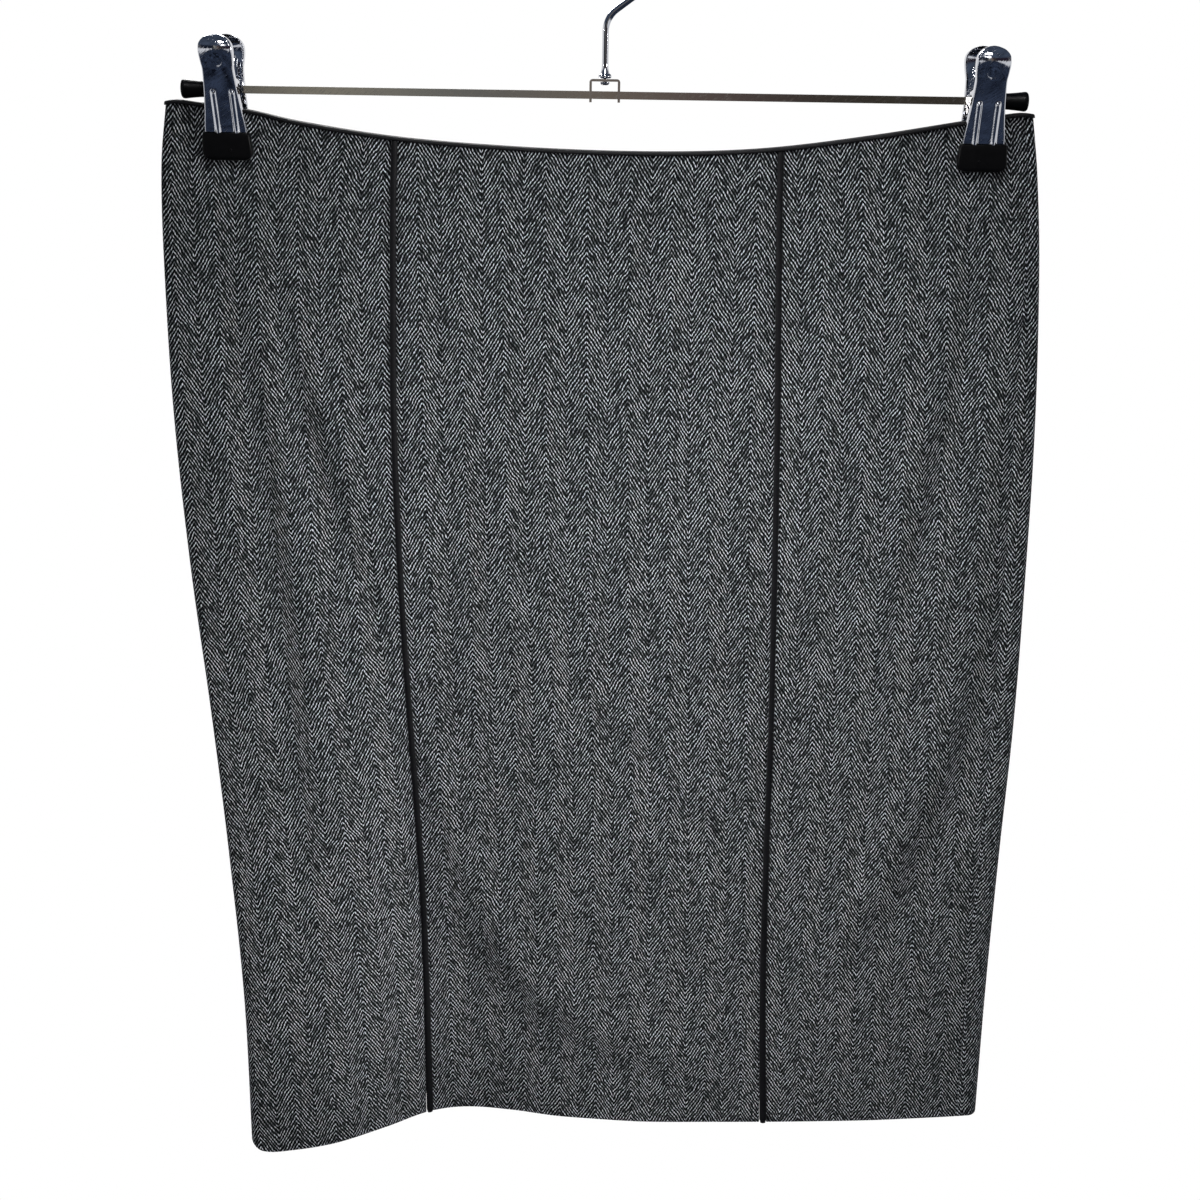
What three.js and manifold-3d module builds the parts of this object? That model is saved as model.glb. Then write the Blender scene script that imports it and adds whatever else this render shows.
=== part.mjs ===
// A knee-length pencil skirt in herringbone double jersey, clipped flat by its waist to a chrome
// clip hanger. Millimetres, +Z up, the front faces -Y and +X is to the right seen from the front.
// The origin is the point inside the top of the hook that bears on the rail.
import * as THREE from "three";
import { mergeVertices } from "three/addons/utils/BufferGeometryUtils.js";
import Module from "manifold-3d";

const wasm = await Module();
wasm.setup();

// Driving sizes of the skirt
const CLOTH = 1.4; // wall of double jersey, as it lies on the hanger
const SEAM_GAP = 0.3; // between two panels that are sewn together
const HEM_TURN_UP = 30; // the hem is folded up inside by this much
const HEM_DROP = 583.8; // hem's edge below the rod's axis
const PIPING_WIDTH = 3.2;
const PIPING_THICKNESS = 2.6;
const PIPING_PROUD = 0.4; // the cord's centre lies this far outside the cloth's middle
const BINDING_DEPTH = 3.4; // the folded strip over the waist edge, seen from outside
const BINDING_CLOTH = 0.6;

// Driving sizes of the hanger
const ROD_LENGTH = 420;
const ROD_SIDE = 3.7;
const WIRE_RADIUS = 1.6;
const HOOK_RADIUS = 23.7; // centreline of the hook's round
const HOOK_BEND_RADIUS = 13; // centreline of the bend at the stem's top
const HOOK_BEND = THREE.MathUtils.degToRad(54); // the wire leans this far from upright after the bend
const STEM_TOP = 30; // the stem is straight up to here, above the rod's axis
const HOOK_END_ANGLE = 198; // degrees, where the round stops, counted from +X
const CLIP_OFFSET = 188.5; // from the hanger's middle to each clip's middle
const JAW_TOP = -20.6; // of the rubber boots, from the rod's axis
const JAW_BOTTOM = -34;

// The hook's wire: a stem, a bend, a straight slope and a round above the stem that the slope runs into
const slopeStart = HOOK_BEND_RADIUS * (1 - Math.cos(HOOK_BEND));
const slopeLength = (HOOK_RADIUS * Math.cos(HOOK_BEND) - slopeStart) / Math.sin(HOOK_BEND);
const bendTop = STEM_TOP + HOOK_BEND_RADIUS * Math.sin(HOOK_BEND);
const hookCentre = bendTop + slopeLength * Math.cos(HOOK_BEND) + HOOK_RADIUS * Math.sin(HOOK_BEND);
const RAIL_TO_ROD = hookCentre + HOOK_RADIUS - WIRE_RADIUS;

// A table's rows as objects, from the names of its columns
function table(names, rows) {
  const keys = names.split(" ");
  return rows.map((row) => Object.fromEntries(keys.map((key, i) => [key, row[i]])));
}

// The tube of cloth, one row for each section. down is the share of the way from waist to hem, left and
// right are the outline's edges, then come the seams in X: the two piped seams and the right side seam
// lie on the front, the left side seam on the back. roll is the radius of the rounded sides, and
// fullness is how much further apart the two layers stand in the middle.
const SECTIONS = table("down left right pipeLeft pipeRight sideRight sideLeft roll fullness", [
  [0.0, -217.5, 212.5, -104.4, 88.4, 208.5, -209.5, 2.4, 0.8],
  [0.05, -221.5, 217.4, -105.6, 88.9, 212.8, -213.0, 2.5, 1.2],
  [0.13, -223.0, 222.5, -106.6, 90.4, 215.5, -214.0, 2.7, 2.0],
  [0.27, -222.0, 227.7, -107.4, 93.0, 217.2, -213.0, 3.2, 3.0],
  [0.42, -216.5, 230.2, -105.2, 95.2, 218.6, -208.5, 3.8, 3.8],
  [0.56, -208.4, 231.4, -101.7, 96.8, 219.2, -201.5, 4.4, 4.4],
  [0.7, -201.1, 230.4, -97.9, 97.6, 218.8, -195.0, 5.0, 5.0],
  [0.85, -195.0, 230.2, -95.8, 99.3, 218.6, -189.5, 5.5, 5.5],
  [1.0, -192.6, 231.3, -95.0, 103.0, 219.4, -186.4, 6.0, 6.0],
]);

// The waist edge sags between the clips: its drop below the rod's axis across the skirt.
const WAIST_LINE = table("x drop", [
  [-222, 8.2], [-214, 6.1], [-205, 6.9], [-178, 10.2], [-152, 15.6], [-104, 22.3], [-52, 25.9], [0, 27.6],
  [48, 27.2], [88, 24.5], [138, 17.6], [177, 10.9], [203, 6.7], [210, 6.3], [219, 8.0],
]);

// The hem's edge below the rod's axis. It is level but for the left corner, which curls up a little.
const HEM_LINE = table("x drop", [
  [-194, HEM_DROP - 7], [-189, HEM_DROP - 2.6], [-182, HEM_DROP - 0.2], [-170, HEM_DROP], [232, HEM_DROP],
]);

// How far the middle of the tube swings at the hem, towards the viewer where y is negative.
const HEM_SWING = table("x y", [
  [-195, -42], [-150, -27], [-120, -7.5], [-96, 10], [-74, 16], [-46, 13.5], [-16, 7], [44, 3], [104, 5], [163, 7],
  [232, 9],
]);
const SWING_START = 0.07; // the jaws hold the cloth above this share of its length
const SWING_POWER = 1.7;

// The largest drag folds. Each runs along a curve from its start by its middle to its end, in X and in drop
// below the rod. width is half the fold's width and depth how far it sinks in; a ridge's is negative.
const FOLDS = table("face startX startDrop middleX middleDrop endX endDrop width depth", [
  ["front", -201, 48, -172, 240, -156, 548, 17, 3.2],
  ["front", -173, 72, -151, 190, -112, 285, 12, 1.8],
  ["front", -103, 318, -62, 500, 84, 568, 19, 3.4],
  ["front", 196, 46, 183, 175, 161, 300, 14, 2.6],
  ["front", 217, 110, 218, 330, 142, 510, 17, 2.8],
  ["front", -24, 262, 6, 335, 58, 402, 16, 1.4],
  ["front", -128, 330, -126, 430, -127, 540, 16, -2.0],
  ["front", 20, 200, 34, 250, 48, 300, 26, -1.2],
  ["back", 198, 48, 176, 260, 150, 520, 18, 3.0],
  ["back", -196, 50, -166, 220, -96, 400, 17, 2.8],
  ["back", 150, 330, 70, 500, -60, 560, 20, 2.6],
  ["back", -20, 120, -6, 240, -30, 380, 22, -1.2],
]);
const FOLD_STEPS = 10;

// The jaws pinch the two layers together around each clip.
const PINCHED_HALF_GAP = 1.3; // from the tube's middle to the cloth's middle
const PINCH_REACH_X = 30;
const PINCH_REACH_Z = 17;
const PINCH_FIRMNESS = 1.25; // over one, so that the jaws' whole width is flat

// How finely the cloth is divided: the shares of its length at which it has a row of points
const BINDING_END = (BINDING_DEPTH - SEAM_GAP - BINDING_CLOTH) / (HEM_DROP - 25);
const HEM_FOLD_AT = 1 - HEM_TURN_UP / (HEM_DROP - 25);
const HEM_STEP = 0.004; // share of the length over which the turned-up hem begins
const LEVELS = [
  0, BINDING_END, 0.016, 0.032, 0.047, 0.065, 0.09, 0.13, 0.175, 0.22, 0.27, 0.32, 0.37, 0.42, 0.47, 0.52, 0.57,
  0.62, 0.67, 0.72, 0.77, 0.82, 0.865, 0.905, HEM_FOLD_AT - HEM_STEP, HEM_FOLD_AT, 0.975, 1,
];

// Value of one column of a table at a place along it, on a smooth curve through the rows
function sample(rows, key, column, at) {
  const last = rows.length - 1;
  let i = rows.findIndex((row) => row[key] > at) - 1;
  if (i === -2) i = last - 1;
  i = Math.min(Math.max(i, 0), last - 1);
  const slope = (k) => {
    const a = rows[Math.max(k - 1, 0)];
    const b = rows[Math.min(k + 1, last)];
    return (b[column] - a[column]) / (b[key] - a[key]);
  };
  const [from, to] = [rows[i], rows[i + 1]];
  const span = to[key] - from[key];
  const s = THREE.MathUtils.clamp((at - from[key]) / span, 0, 1);
  const [s2, s3] = [s * s, s * s * s];
  return (
    from[column] * (2 * s3 - 3 * s2 + 1) +
    to[column] * (3 * s2 - 2 * s3) +
    span * (slope(i) * (s3 - 2 * s2 + s) + slope(i + 1) * (s3 - s2))
  );
}

const section = (column, down) => sample(SECTIONS, "down", column, down);

// Height in the part's frame of a drop below the rod's axis
const height = (drop) => -RAIL_TO_ROD - drop;

function dropAt(x, down) {
  const waist = sample(WAIST_LINE, "x", "drop", x);
  return waist + down * (sample(HEM_LINE, "x", "drop", x) - waist);
}

// Points along each fold's curve. The curve's control point is set so that it passes by the middle.
const foldPaths = FOLDS.map((fold) => {
  const start = new THREE.Vector2(fold.startX, fold.startDrop);
  const end = new THREE.Vector2(fold.endX, fold.endDrop);
  const control = new THREE.Vector2(fold.middleX, fold.middleDrop).multiplyScalar(2);
  control.addScaledVector(start, -0.5).addScaledVector(end, -0.5);
  return new THREE.QuadraticBezierCurve(start, control, end).getPoints(FOLD_STEPS);
});

// How deep all the folds of one face are at a place of the cloth, towards the inside of the tube
function foldDepth(face, x, drop) {
  let depth = 0;
  FOLDS.forEach((fold, k) => {
    if (fold.face !== face) return;
    const path = foldPaths[k];
    let nearest = Infinity;
    let along = 0;
    for (let i = 0; i < FOLD_STEPS; i++) {
      const [a, b] = [path[i], path[i + 1]];
      const [dx, dz] = [b.x - a.x, b.y - a.y];
      const s = THREE.MathUtils.clamp(((x - a.x) * dx + (drop - a.y) * dz) / (dx * dx + dz * dz), 0, 1);
      const distance = Math.hypot(x - a.x - s * dx, drop - a.y - s * dz);
      if (distance < nearest) [nearest, along] = [distance, (i + s) / FOLD_STEPS];
    }
    depth += fold.depth * Math.sin(Math.PI * along) ** 0.8 * Math.exp(-((nearest / fold.width) ** 2));
  });
  return depth;
}

// Y of the middle between the two layers
function middleY(x, down) {
  const grown = Math.max(down - SWING_START, 0) / (1 - SWING_START);
  return sample(HEM_SWING, "x", "y", x) * grown ** SWING_POWER;
}

// How firmly the jaws press at a place, from 0 to 1
function pinch(x, drop) {
  const jaw = -(JAW_TOP + JAW_BOTTOM) / 2;
  const below = Math.abs((drop - jaw) / PINCH_REACH_Z) ** 4;
  const beside = Math.abs((Math.abs(x) - CLIP_OFFSET) / PINCH_REACH_X) ** 4;
  return Math.min(1, PINCH_FIRMNESS * Math.exp(-beside - below));
}

// From the tube's middle to the middle of the cloth, on one face
function halfGap(face, x, down) {
  const [left, right, roll] = [section("left", down), section("right", down), section("roll", down)];
  const width = right - left - 2 * roll;
  const across = THREE.MathUtils.clamp((2 * x - left - right) / width, -1, 1);
  const drop = dropAt(x, down);
  const rounded = section("fullness", down) * (1 - across ** 4);
  const full = roll + rounded - foldDepth(face, x, drop) * (1 - across ** 8);
  const held = Math.min(1, ((1 - Math.abs(across)) * width) / (4 * roll)); // the rolled side keeps its radius
  return THREE.MathUtils.lerp(full, PINCHED_HALF_GAP, pinch(x, drop) * held);
}

// A point on the middle of the cloth. round goes once about the tube seen from above: 0 to 1 across the front
// from the left, 1 to 2 around the right side, 2 to 3 across the back and 3 to 4 around the left side.
function onTube(round, down) {
  const turn = ((round % 4) + 4) % 4;
  const part = Math.floor(turn);
  const share = turn - part;
  const [left, right, roll] = [section("left", down), section("right", down), section("roll", down)];
  const [flatLeft, flatRight] = [left + roll, right - roll];
  if (part % 2 === 0) {
    const front = part === 0;
    const x = THREE.MathUtils.lerp(flatLeft, flatRight, front ? share : 1 - share);
    const y = middleY(x, down) + (front ? -1 : 1) * halfGap(front ? "front" : "back", x, down);
    return new THREE.Vector3(x, y, height(dropAt(x, down)));
  }
  const rightSide = part === 1;
  const angle = Math.PI * (share - 0.5) + (rightSide ? 0 : Math.PI);
  const centre = rightSide ? flatRight : flatLeft;
  const x = centre + roll * Math.cos(angle);
  const y = middleY(centre, down) + roll * Math.sin(angle);
  return new THREE.Vector3(x, y, height(dropAt(x, down)));
}

// The place around the tube of an X on the front or on the back
function roundOf(face, x, down) {
  const [left, right, roll] = [section("left", down), section("right", down), section("roll", down)];
  const share = (x - left - roll) / (right - left - 2 * roll);
  return face === "front" ? share : 3 - share;
}

// Outward direction of the cloth, level, at a place around the tube
function outward(round, down) {
  const step = 0.004;
  const along = onTube(round + step, down).sub(onTube(round - step, down));
  return new THREE.Vector3(along.y, -along.x, 0).normalize();
}

// Moves a place around the tube by a length of cloth, in mm
function moved(round, down, length) {
  const step = 0.004;
  const speed = onTube(round + step, down).distanceTo(onTube(round - step, down)) / (2 * step);
  return round + length / speed;
}

// A closed surface through rings. In each ring the first half of the points goes along one side and the
// second half back along the other, and each end is closed by a strip between the two halves.
function loft(rings) {
  const count = rings[0].length;
  const index = [];
  const quad = (a, b, c, d) => index.push(a, b, c, a, c, d);
  for (let i = 0; i + 1 < rings.length; i++) {
    for (let k = 0; k < count; k++) {
      const [a, b] = [i * count + k, i * count + ((k + 1) % count)];
      // both sides of a wall are divided along the same diagonal
      if (k < count / 2) quad(a, b, b + count, a + count);
      else quad(b, b + count, a + count, a);
    }
  }
  const last = (rings.length - 1) * count;
  for (let k = 0; k < count / 2 - 1; k++) {
    const [near, far] = [k, count - 1 - k];
    quad(near, far, far - 1, near + 1);
    quad(last + near, last + near + 1, last + far - 1, last + far);
  }
  const geometry = new THREE.BufferGeometry();
  const positions = rings.flat().flatMap((p) => [p.x, p.y, p.z]);
  geometry.setAttribute("position", new THREE.Float32BufferAttribute(positions, 3));
  geometry.setIndex(index);
  return facingOut(geometry);
}

// Turns every triangle round if the surface encloses a negative volume
function facingOut(geometry) {
  const p = geometry.getAttribute("position");
  const index = geometry.getIndex();
  const [a, b, c] = [new THREE.Vector3(), new THREE.Vector3(), new THREE.Vector3()];
  let volume = 0;
  for (let i = 0; i < index.count; i += 3) {
    a.fromBufferAttribute(p, index.getX(i));
    b.fromBufferAttribute(p, index.getX(i + 1));
    c.fromBufferAttribute(p, index.getX(i + 2));
    volume += a.dot(b.cross(c));
  }
  if (volume < 0) index.array.reverse();
  return geometry;
}

function toSolid(geometry) {
  const bare = geometry.clone();
  bare.deleteAttribute("normal");
  bare.deleteAttribute("uv");
  const merged = mergeVertices(bare, 1e-4);
  return new wasm.Manifold(
    new wasm.Mesh({
      numProp: 3,
      vertProperties: new Float32Array(merged.getAttribute("position").array),
      triVerts: new Uint32Array(merged.getIndex().array),
    }),
  );
}

function toGeometry(solid) {
  const mesh = solid.getMesh();
  const geometry = new THREE.BufferGeometry();
  const positions = [];
  for (let i = 0; i < mesh.numVert; i++) {
    positions.push(...mesh.vertProperties.subarray(i * mesh.numProp, i * mesh.numProp + 3));
  }
  geometry.setAttribute("position", new THREE.Float32BufferAttribute(positions, 3));
  geometry.setIndex(Array.from(mesh.triVerts));
  return geometry;
}

// Materials, in the photo's colours
const herringbone = new THREE.MeshStandardMaterial({ color: "#4a4d50", roughness: 0.9, metalness: 0 });
const blackTrim = new THREE.MeshStandardMaterial({ color: "#17171a", roughness: 0.55, metalness: 0 });
const chrome = new THREE.MeshStandardMaterial({ color: "#c9ccd0", roughness: 0.08, metalness: 1 });
const blackRubber = new THREE.MeshStandardMaterial({ color: "#0b0b0c", roughness: 0.5, metalness: 0 });

function node(name, geometry, material) {
  const mesh = new THREE.Mesh(geometry, material);
  mesh.name = name;
  return mesh;
}

// The seams as places around the tube, with half of the gap that the panels leave there. Each panel runs
// from one seam to the next.
const seamAt = (column, face, edge) => ({ place: (down) => roundOf(face, section(column, down), down), edge });
const SEAMS = {
  pipeLeft: seamAt("pipeLeft", "front", PIPING_WIDTH / 2 + SEAM_GAP),
  pipeRight: seamAt("pipeRight", "front", PIPING_WIDTH / 2 + SEAM_GAP),
  sideRight: seamAt("sideRight", "front", SEAM_GAP / 2),
  sideLeft: seamAt("sideLeft", "back", SEAM_GAP / 2),
};

const FLAT_COLUMN = 16; // mm, about the width of one column on the flat
const ARC_COLUMNS = 6; // around a rounded side
const PANELS = [
  { name: "front_centre_panel", from: "pipeLeft", to: "pipeRight" },
  { name: "front_right_panel", from: "pipeRight", to: "sideRight" },
  { name: "back_panel", from: "sideRight", to: "sideLeft" },
  { name: "front_left_panel", from: "sideLeft", to: "pipeLeft" },
];

// The columns of a panel as functions of down: even steps on each stretch between the panel's two edges
function columnsOf(panel) {
  const [from, to] = [SEAMS[panel.from], SEAMS[panel.to]];
  const start = (down) => moved(from.place(down), down, from.edge);
  const end = (down) => {
    const place = moved(to.place(down), down, -to.edge);
    return place < start(down) ? place + 4 : place;
  };
  const corners = [1, 2, 3, 4].filter((c) => c > start(0.5) && c < end(0.5));
  const stops = [start, ...corners.map((c) => () => c), end];
  const columns = [start];
  for (let i = 0; i + 1 < stops.length; i++) {
    const [a, b] = [stops[i], stops[i + 1]];
    const isArc = Math.floor((a(0.5) + b(0.5)) / 2) % 2 === 1;
    const length = onTube(a(0.5), 0.5).distanceTo(onTube(b(0.5), 0.5));
    const steps = isArc ? ARC_COLUMNS : Math.max(1, Math.round(length / FLAT_COLUMN));
    for (let k = 1; k <= steps; k++) {
      columns.push((down) => THREE.MathUtils.lerp(a(down), b(down), k / steps));
    }
  }
  return columns;
}

// A panel's wall: at each level its ring goes along the outer points and back along the inner ones
function panelGeometry(panel) {
  const columns = columnsOf(panel);
  const rings = LEVELS.map((down) => {
    const inside = down >= HEM_FOLD_AT ? 1.5 * CLOTH : CLOTH / 2;
    const places = columns.map((column) => column(down));
    const point = (round, offset) => onTube(round, down).addScaledVector(outward(round, down), offset);
    const outer = places.map((round) => point(round, CLOTH / 2));
    const inner = places.map((round) => point(round, -inside));
    return [...outer, ...inner.reverse()];
  });
  return loft(rings);
}

// The piping cord of one seam, from just under the binding to the hem
function pipingGeometry(seam) {
  const top = BINDING_END + SEAM_GAP / (HEM_DROP - 25);
  const sides = 8;
  const rings = [top, ...LEVELS.slice(2)].map((down) => {
    const round = SEAMS[seam].place(down);
    const centre = onTube(round, down);
    const out = outward(round, down);
    const across = new THREE.Vector3(-out.y, out.x, 0);
    return Array.from({ length: sides }, (_, k) => {
      const angle = (2 * Math.PI * (k + 0.5)) / sides;
      return centre.clone()
        .addScaledVector(across, (PIPING_WIDTH / 2) * Math.cos(angle))
        .addScaledVector(out, PIPING_PROUD + (PIPING_THICKNESS / 2) * Math.sin(angle));
    });
  });
  return loft(rings);
}

// The binding is a strip folded over the waist edge. It has the panels' columns, from the left side seam
// round the front, the right side and the back.
function bindingGeometry() {
  const clear = CLOTH / 2 + SEAM_GAP;
  const out = clear + BINDING_CLOTH;
  const foot = { down: BINDING_END, up: 0 };
  const fold = { down: 0, up: SEAM_GAP + BINDING_CLOTH };
  const lining = { down: 0, up: SEAM_GAP };
  const profile = [
    [out, foot], [out, fold], [-out, fold], [-out, foot],
    [-clear, foot], [-clear, lining], [clear, lining], [clear, foot],
  ];
  const columns = ["front_left_panel", "front_centre_panel", "front_right_panel", "back_panel"].flatMap((name) =>
    columnsOf(PANELS.find((panel) => panel.name === name)),
  );
  return loft(
    columns.map((column) =>
      profile.map(([offset, { down, up }]) => {
        const place = column(down);
        const point = onTube(place, down).addScaledVector(outward(place, down), offset);
        return point.setZ(point.z + up);
      }),
    ),
  );
}

// A plate cut from a shape in the YZ plane, thick along X about the part's own middle
function plateAlongX(points, thickness) {
  const shape = new THREE.Shape(points);
  const geometry = new THREE.ExtrudeGeometry(shape, { depth: thickness, bevelEnabled: false });
  const [x, y, z] = [new THREE.Vector3(1, 0, 0), new THREE.Vector3(0, 1, 0), new THREE.Vector3(0, 0, 1)];
  return geometry.translate(0, 0, -thickness / 2).applyMatrix4(new THREE.Matrix4().makeBasis(y, z, x));
}

// The rod is square, and a flared sleeve closes each end
const CAP = { length: 12.2, innerRadius: 3.8, outerRadius: 4.75, wall: 3, rim: 0.9, sides: 20 };

function rodGeometry() {
  const length = ROD_LENGTH - 2 * (CAP.wall + SEAM_GAP);
  return new THREE.BoxGeometry(length, ROD_SIDE, ROD_SIDE).translate(0, 0, -RAIL_TO_ROD);
}

function endCapGeometry(side) {
  const { length, innerRadius, outerRadius, wall, rim, sides } = CAP;
  const bore = (ROD_SIDE / 2 + SEAM_GAP) * 2;
  const profile = [
    [0, 0], [outerRadius - 2 * rim, 0], [outerRadius - 0.4, rim * 0.5], [outerRadius, rim * 1.6],
    [outerRadius - 0.3, 3.4], [innerRadius, length], [0, length],
  ].map(([r, z]) => new THREE.Vector2(r, z));
  const body = toSolid(new THREE.LatheGeometry(profile, sides));
  const hole = toSolid(new THREE.BoxGeometry(bore, length, bore).translate(0, wall + length / 2, 0));
  const geometry = toGeometry(body.subtract(hole));
  geometry.rotateZ(side > 0 ? Math.PI / 2 : -Math.PI / 2);
  return geometry.translate((side * ROD_LENGTH) / 2, 0, -RAIL_TO_ROD);
}

// The bracket is a strip bent over the rod, with a hole for the hook's rivet
const BRACKET = { top: 7.7, bottom: -3.4, half: 7.6, strip: 1.2, width: 8, rivetHole: 1.6, bend: 1.6 };

function bracketGeometry() {
  const { top, bottom, half, strip, width, rivetHole, bend } = BRACKET;
  const shape = new THREE.Shape();
  shape.moveTo(-half, bottom);
  shape.lineTo(-half, top - bend);
  shape.absarc(-half + bend, top - bend, bend, Math.PI, Math.PI / 2, true);
  shape.lineTo(half - bend, top);
  shape.absarc(half - bend, top - bend, bend, Math.PI / 2, 0, true);
  shape.lineTo(half, bottom);
  shape.lineTo(half - strip, bottom);
  shape.lineTo(half - strip, top - strip);
  shape.lineTo(-half + strip, top - strip);
  shape.lineTo(-half + strip, bottom);
  shape.closePath();
  const strap = new THREE.ExtrudeGeometry(shape, { depth: width, bevelEnabled: false, curveSegments: 4 });
  strap.rotateX(Math.PI / 2).translate(0, width / 2, 0);
  const rodHole = new THREE.BoxGeometry(4 * half, ROD_SIDE + 2 * SEAM_GAP, ROD_SIDE + 2 * SEAM_GAP);
  const rivet = new THREE.CylinderGeometry(rivetHole, rivetHole, 4 * strip, 16).rotateX(Math.PI / 2);
  rivet.translate(0, 0, top - strip / 2);
  const cut = toSolid(strap).subtract(toSolid(rodHole)).subtract(toSolid(rivet));
  return toGeometry(cut).translate(0, 0, -RAIL_TO_ROD);
}

// The hook has a collar that stands on the bracket and a riveted end below it
const COLLAR = { radius: 2.8, height: 2.3, pin: 1.3, head: 2.3, headHeight: 1.5 };

class HookLine extends THREE.Curve {
  constructor(bottom) {
    super();
    this.bottom = bottom;
    const round = HOOK_RADIUS * (THREE.MathUtils.degToRad(HOOK_END_ANGLE) + HOOK_BEND);
    this.lengths = [STEM_TOP - bottom, HOOK_BEND_RADIUS * HOOK_BEND, slopeLength, round];
  }

  getPoint(t, target = new THREE.Vector3()) {
    const [stem, bend, slope, round] = this.lengths;
    const along = t * (stem + bend + slope + round);
    if (along < stem) return target.set(0, 0, this.bottom + along);
    if (along < stem + bend) {
      const turned = (along - stem) / HOOK_BEND_RADIUS;
      const rise = HOOK_BEND_RADIUS * Math.sin(turned);
      return target.set(HOOK_BEND_RADIUS * (1 - Math.cos(turned)), 0, STEM_TOP + rise);
    }
    if (along < stem + bend + slope) {
      const up = along - stem - bend;
      return target.set(slopeStart + up * Math.sin(HOOK_BEND), 0, bendTop + up * Math.cos(HOOK_BEND));
    }
    const angle = (along - stem - bend - slope) / HOOK_RADIUS - HOOK_BEND;
    return target.set(HOOK_RADIUS * Math.cos(angle), 0, hookCentre + HOOK_RADIUS * Math.sin(angle));
  }
}

function hookGeometry() {
  const seat = BRACKET.top + SEAM_GAP;
  const under = BRACKET.top - BRACKET.strip - SEAM_GAP;
  const line = new HookLine(seat + COLLAR.height / 2);
  const ring = new THREE.Shape().absarc(0, 0, WIRE_RADIUS, 0, 2 * Math.PI, false);
  const wire = new THREE.ExtrudeGeometry(ring, { extrudePath: line, steps: 48, curveSegments: 5 });
  const turned = [
    [0, under - COLLAR.headHeight], [COLLAR.head * 0.6, under - COLLAR.headHeight], [COLLAR.head, under - 0.5],
    [COLLAR.head, under], [COLLAR.pin, under], [COLLAR.pin, seat], [COLLAR.radius - 0.4, seat],
    [COLLAR.radius, seat + 0.6], [COLLAR.radius, seat + 1.5], [WIRE_RADIUS + 0.4, seat + COLLAR.height],
    [0, seat + COLLAR.height],
  ].map(([r, z]) => new THREE.Vector2(r, z));
  const foot = new THREE.LatheGeometry(turned, 14).rotateX(Math.PI / 2);
  const tip = new THREE.SphereGeometry(WIRE_RADIUS, 10, 8).translate(...line.getPoint(1).toArray());
  const whole = toSolid(wire).add(toSolid(foot)).add(toSolid(tip));
  return toGeometry(whole).translate(0, 0, -RAIL_TO_ROD);
}

// One pressed plate of a clip, seen from the front: heights and sizes from the rod's axis. half is half its
// width, face how far its flat stands off the clip's middle, lip how deep its edges are turned in, crown how
// much the flat bulges and rib how proud its two ribs are.
const PLATE = table("z half face lip crown rib", [
  [26.7, 2.6, 14.6, 2.4, 0.2, 0],
  [25.4, 5.3, 16.0, 3.6, 0.9, 0],
  [21.6, 7.8, 16.9, 4.4, 1.8, 0],
  [18.0, 8.3, 16.8, 4.4, 2.0, 0],
  [13.8, 8.0, 15.8, 4.2, 1.4, 0],
  [10.0, 7.6, 14.6, 4.0, 0.6, 0],
  [-0.6, 8.3, 11.3, 4.0, 0.1, 0],
  [-2.2, 8.5, 10.8, 4.0, 0.1, 0.9],
  [-9.0, 9.2, 9.0, 3.4, 0.1, 1.0],
  [-15.0, 9.9, 7.4, 2.6, 0.1, 1.0],
  [-19.2, 10.3, 6.5, 1.9, 0.1, 0.9],
  [-20.2, 10.4, 6.3, 1.8, 0.1, 0],
  [-31.0, 10.2, 5.1, 1.8, 0.1, 0],
]);
const SHEET = 0.9; // the plate's steel
const SHOULDER = 0.9; // the round between the plate's face and its turned-in edge
const RIB = { offset: 4.6, half: 1.9 };
const EAR = { half: 6.9, reach: 4.4, top: 5.6, bottom: -5.6, hole: 3.0 };
const EAR_ROOT = [[-13.4, 7.6], [-10.85, -0.6], [-8.9, -7.6]]; // Y and Z, within the thickness of the face

// A plate's section seen from above, with its face towards -Y
function plateRing({ z, half, face, lip, crown, rib }) {
  const bow = (x) => face + crown * (1 - (x / half) ** 2);
  const shoulder = Math.min(SHOULDER, half * 0.3, lip * 0.28);
  const narrow = Math.min(1, (half - shoulder) / (RIB.offset + 1.3 * RIB.half));
  const onRib = (side) => [-1, 0, 1].map((k) => {
    const x = narrow * (side * RIB.offset + k * RIB.half);
    return [x, bow(x) + (k === 0 ? rib : 0)];
  });
  const edge = (side) => [
    [side * half, face - lip], [side * half, face - shoulder], [side * (half - shoulder), bow(half - shoulder)],
  ];
  const outer = [...edge(-1), ...onRib(-1), [0, bow(0)], ...onRib(1), ...edge(1).reverse()];
  const inner = outer.map(([x, y], i) => [x * (1 - SHEET / half), i % (outer.length - 1) ? y - SHEET : y]);
  return [...outer, ...inner.reverse()].map(([x, y]) => new THREE.Vector3(x, -y, z));
}

// The front plate's ears pass outside those of the rear plate, and the rod goes through all four
function plateSolid(isNested) {
  const body = toSolid(loft(PLATE.map(plateRing)));
  const x = EAR.half - (isNested ? SHEET + SEAM_GAP : 0) - SHEET / 2;
  const shape = [
    ...EAR_ROOT, [EAR.reach - 1, EAR.bottom + 2], [EAR.reach, 0], [EAR.reach - 1, EAR.top - 2],
  ].map(([y, z]) => new THREE.Vector2(y, z));
  const ears = [-1, 1].map((side) => toSolid(plateAlongX(shape, SHEET).translate(side * x, 0, 0)));
  const hole = new THREE.CylinderGeometry(EAR.hole, EAR.hole, 4 * EAR.half, 16).rotateZ(Math.PI / 2);
  return body.add(ears[0]).add(ears[1]).subtract(toSolid(hole));
}

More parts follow.
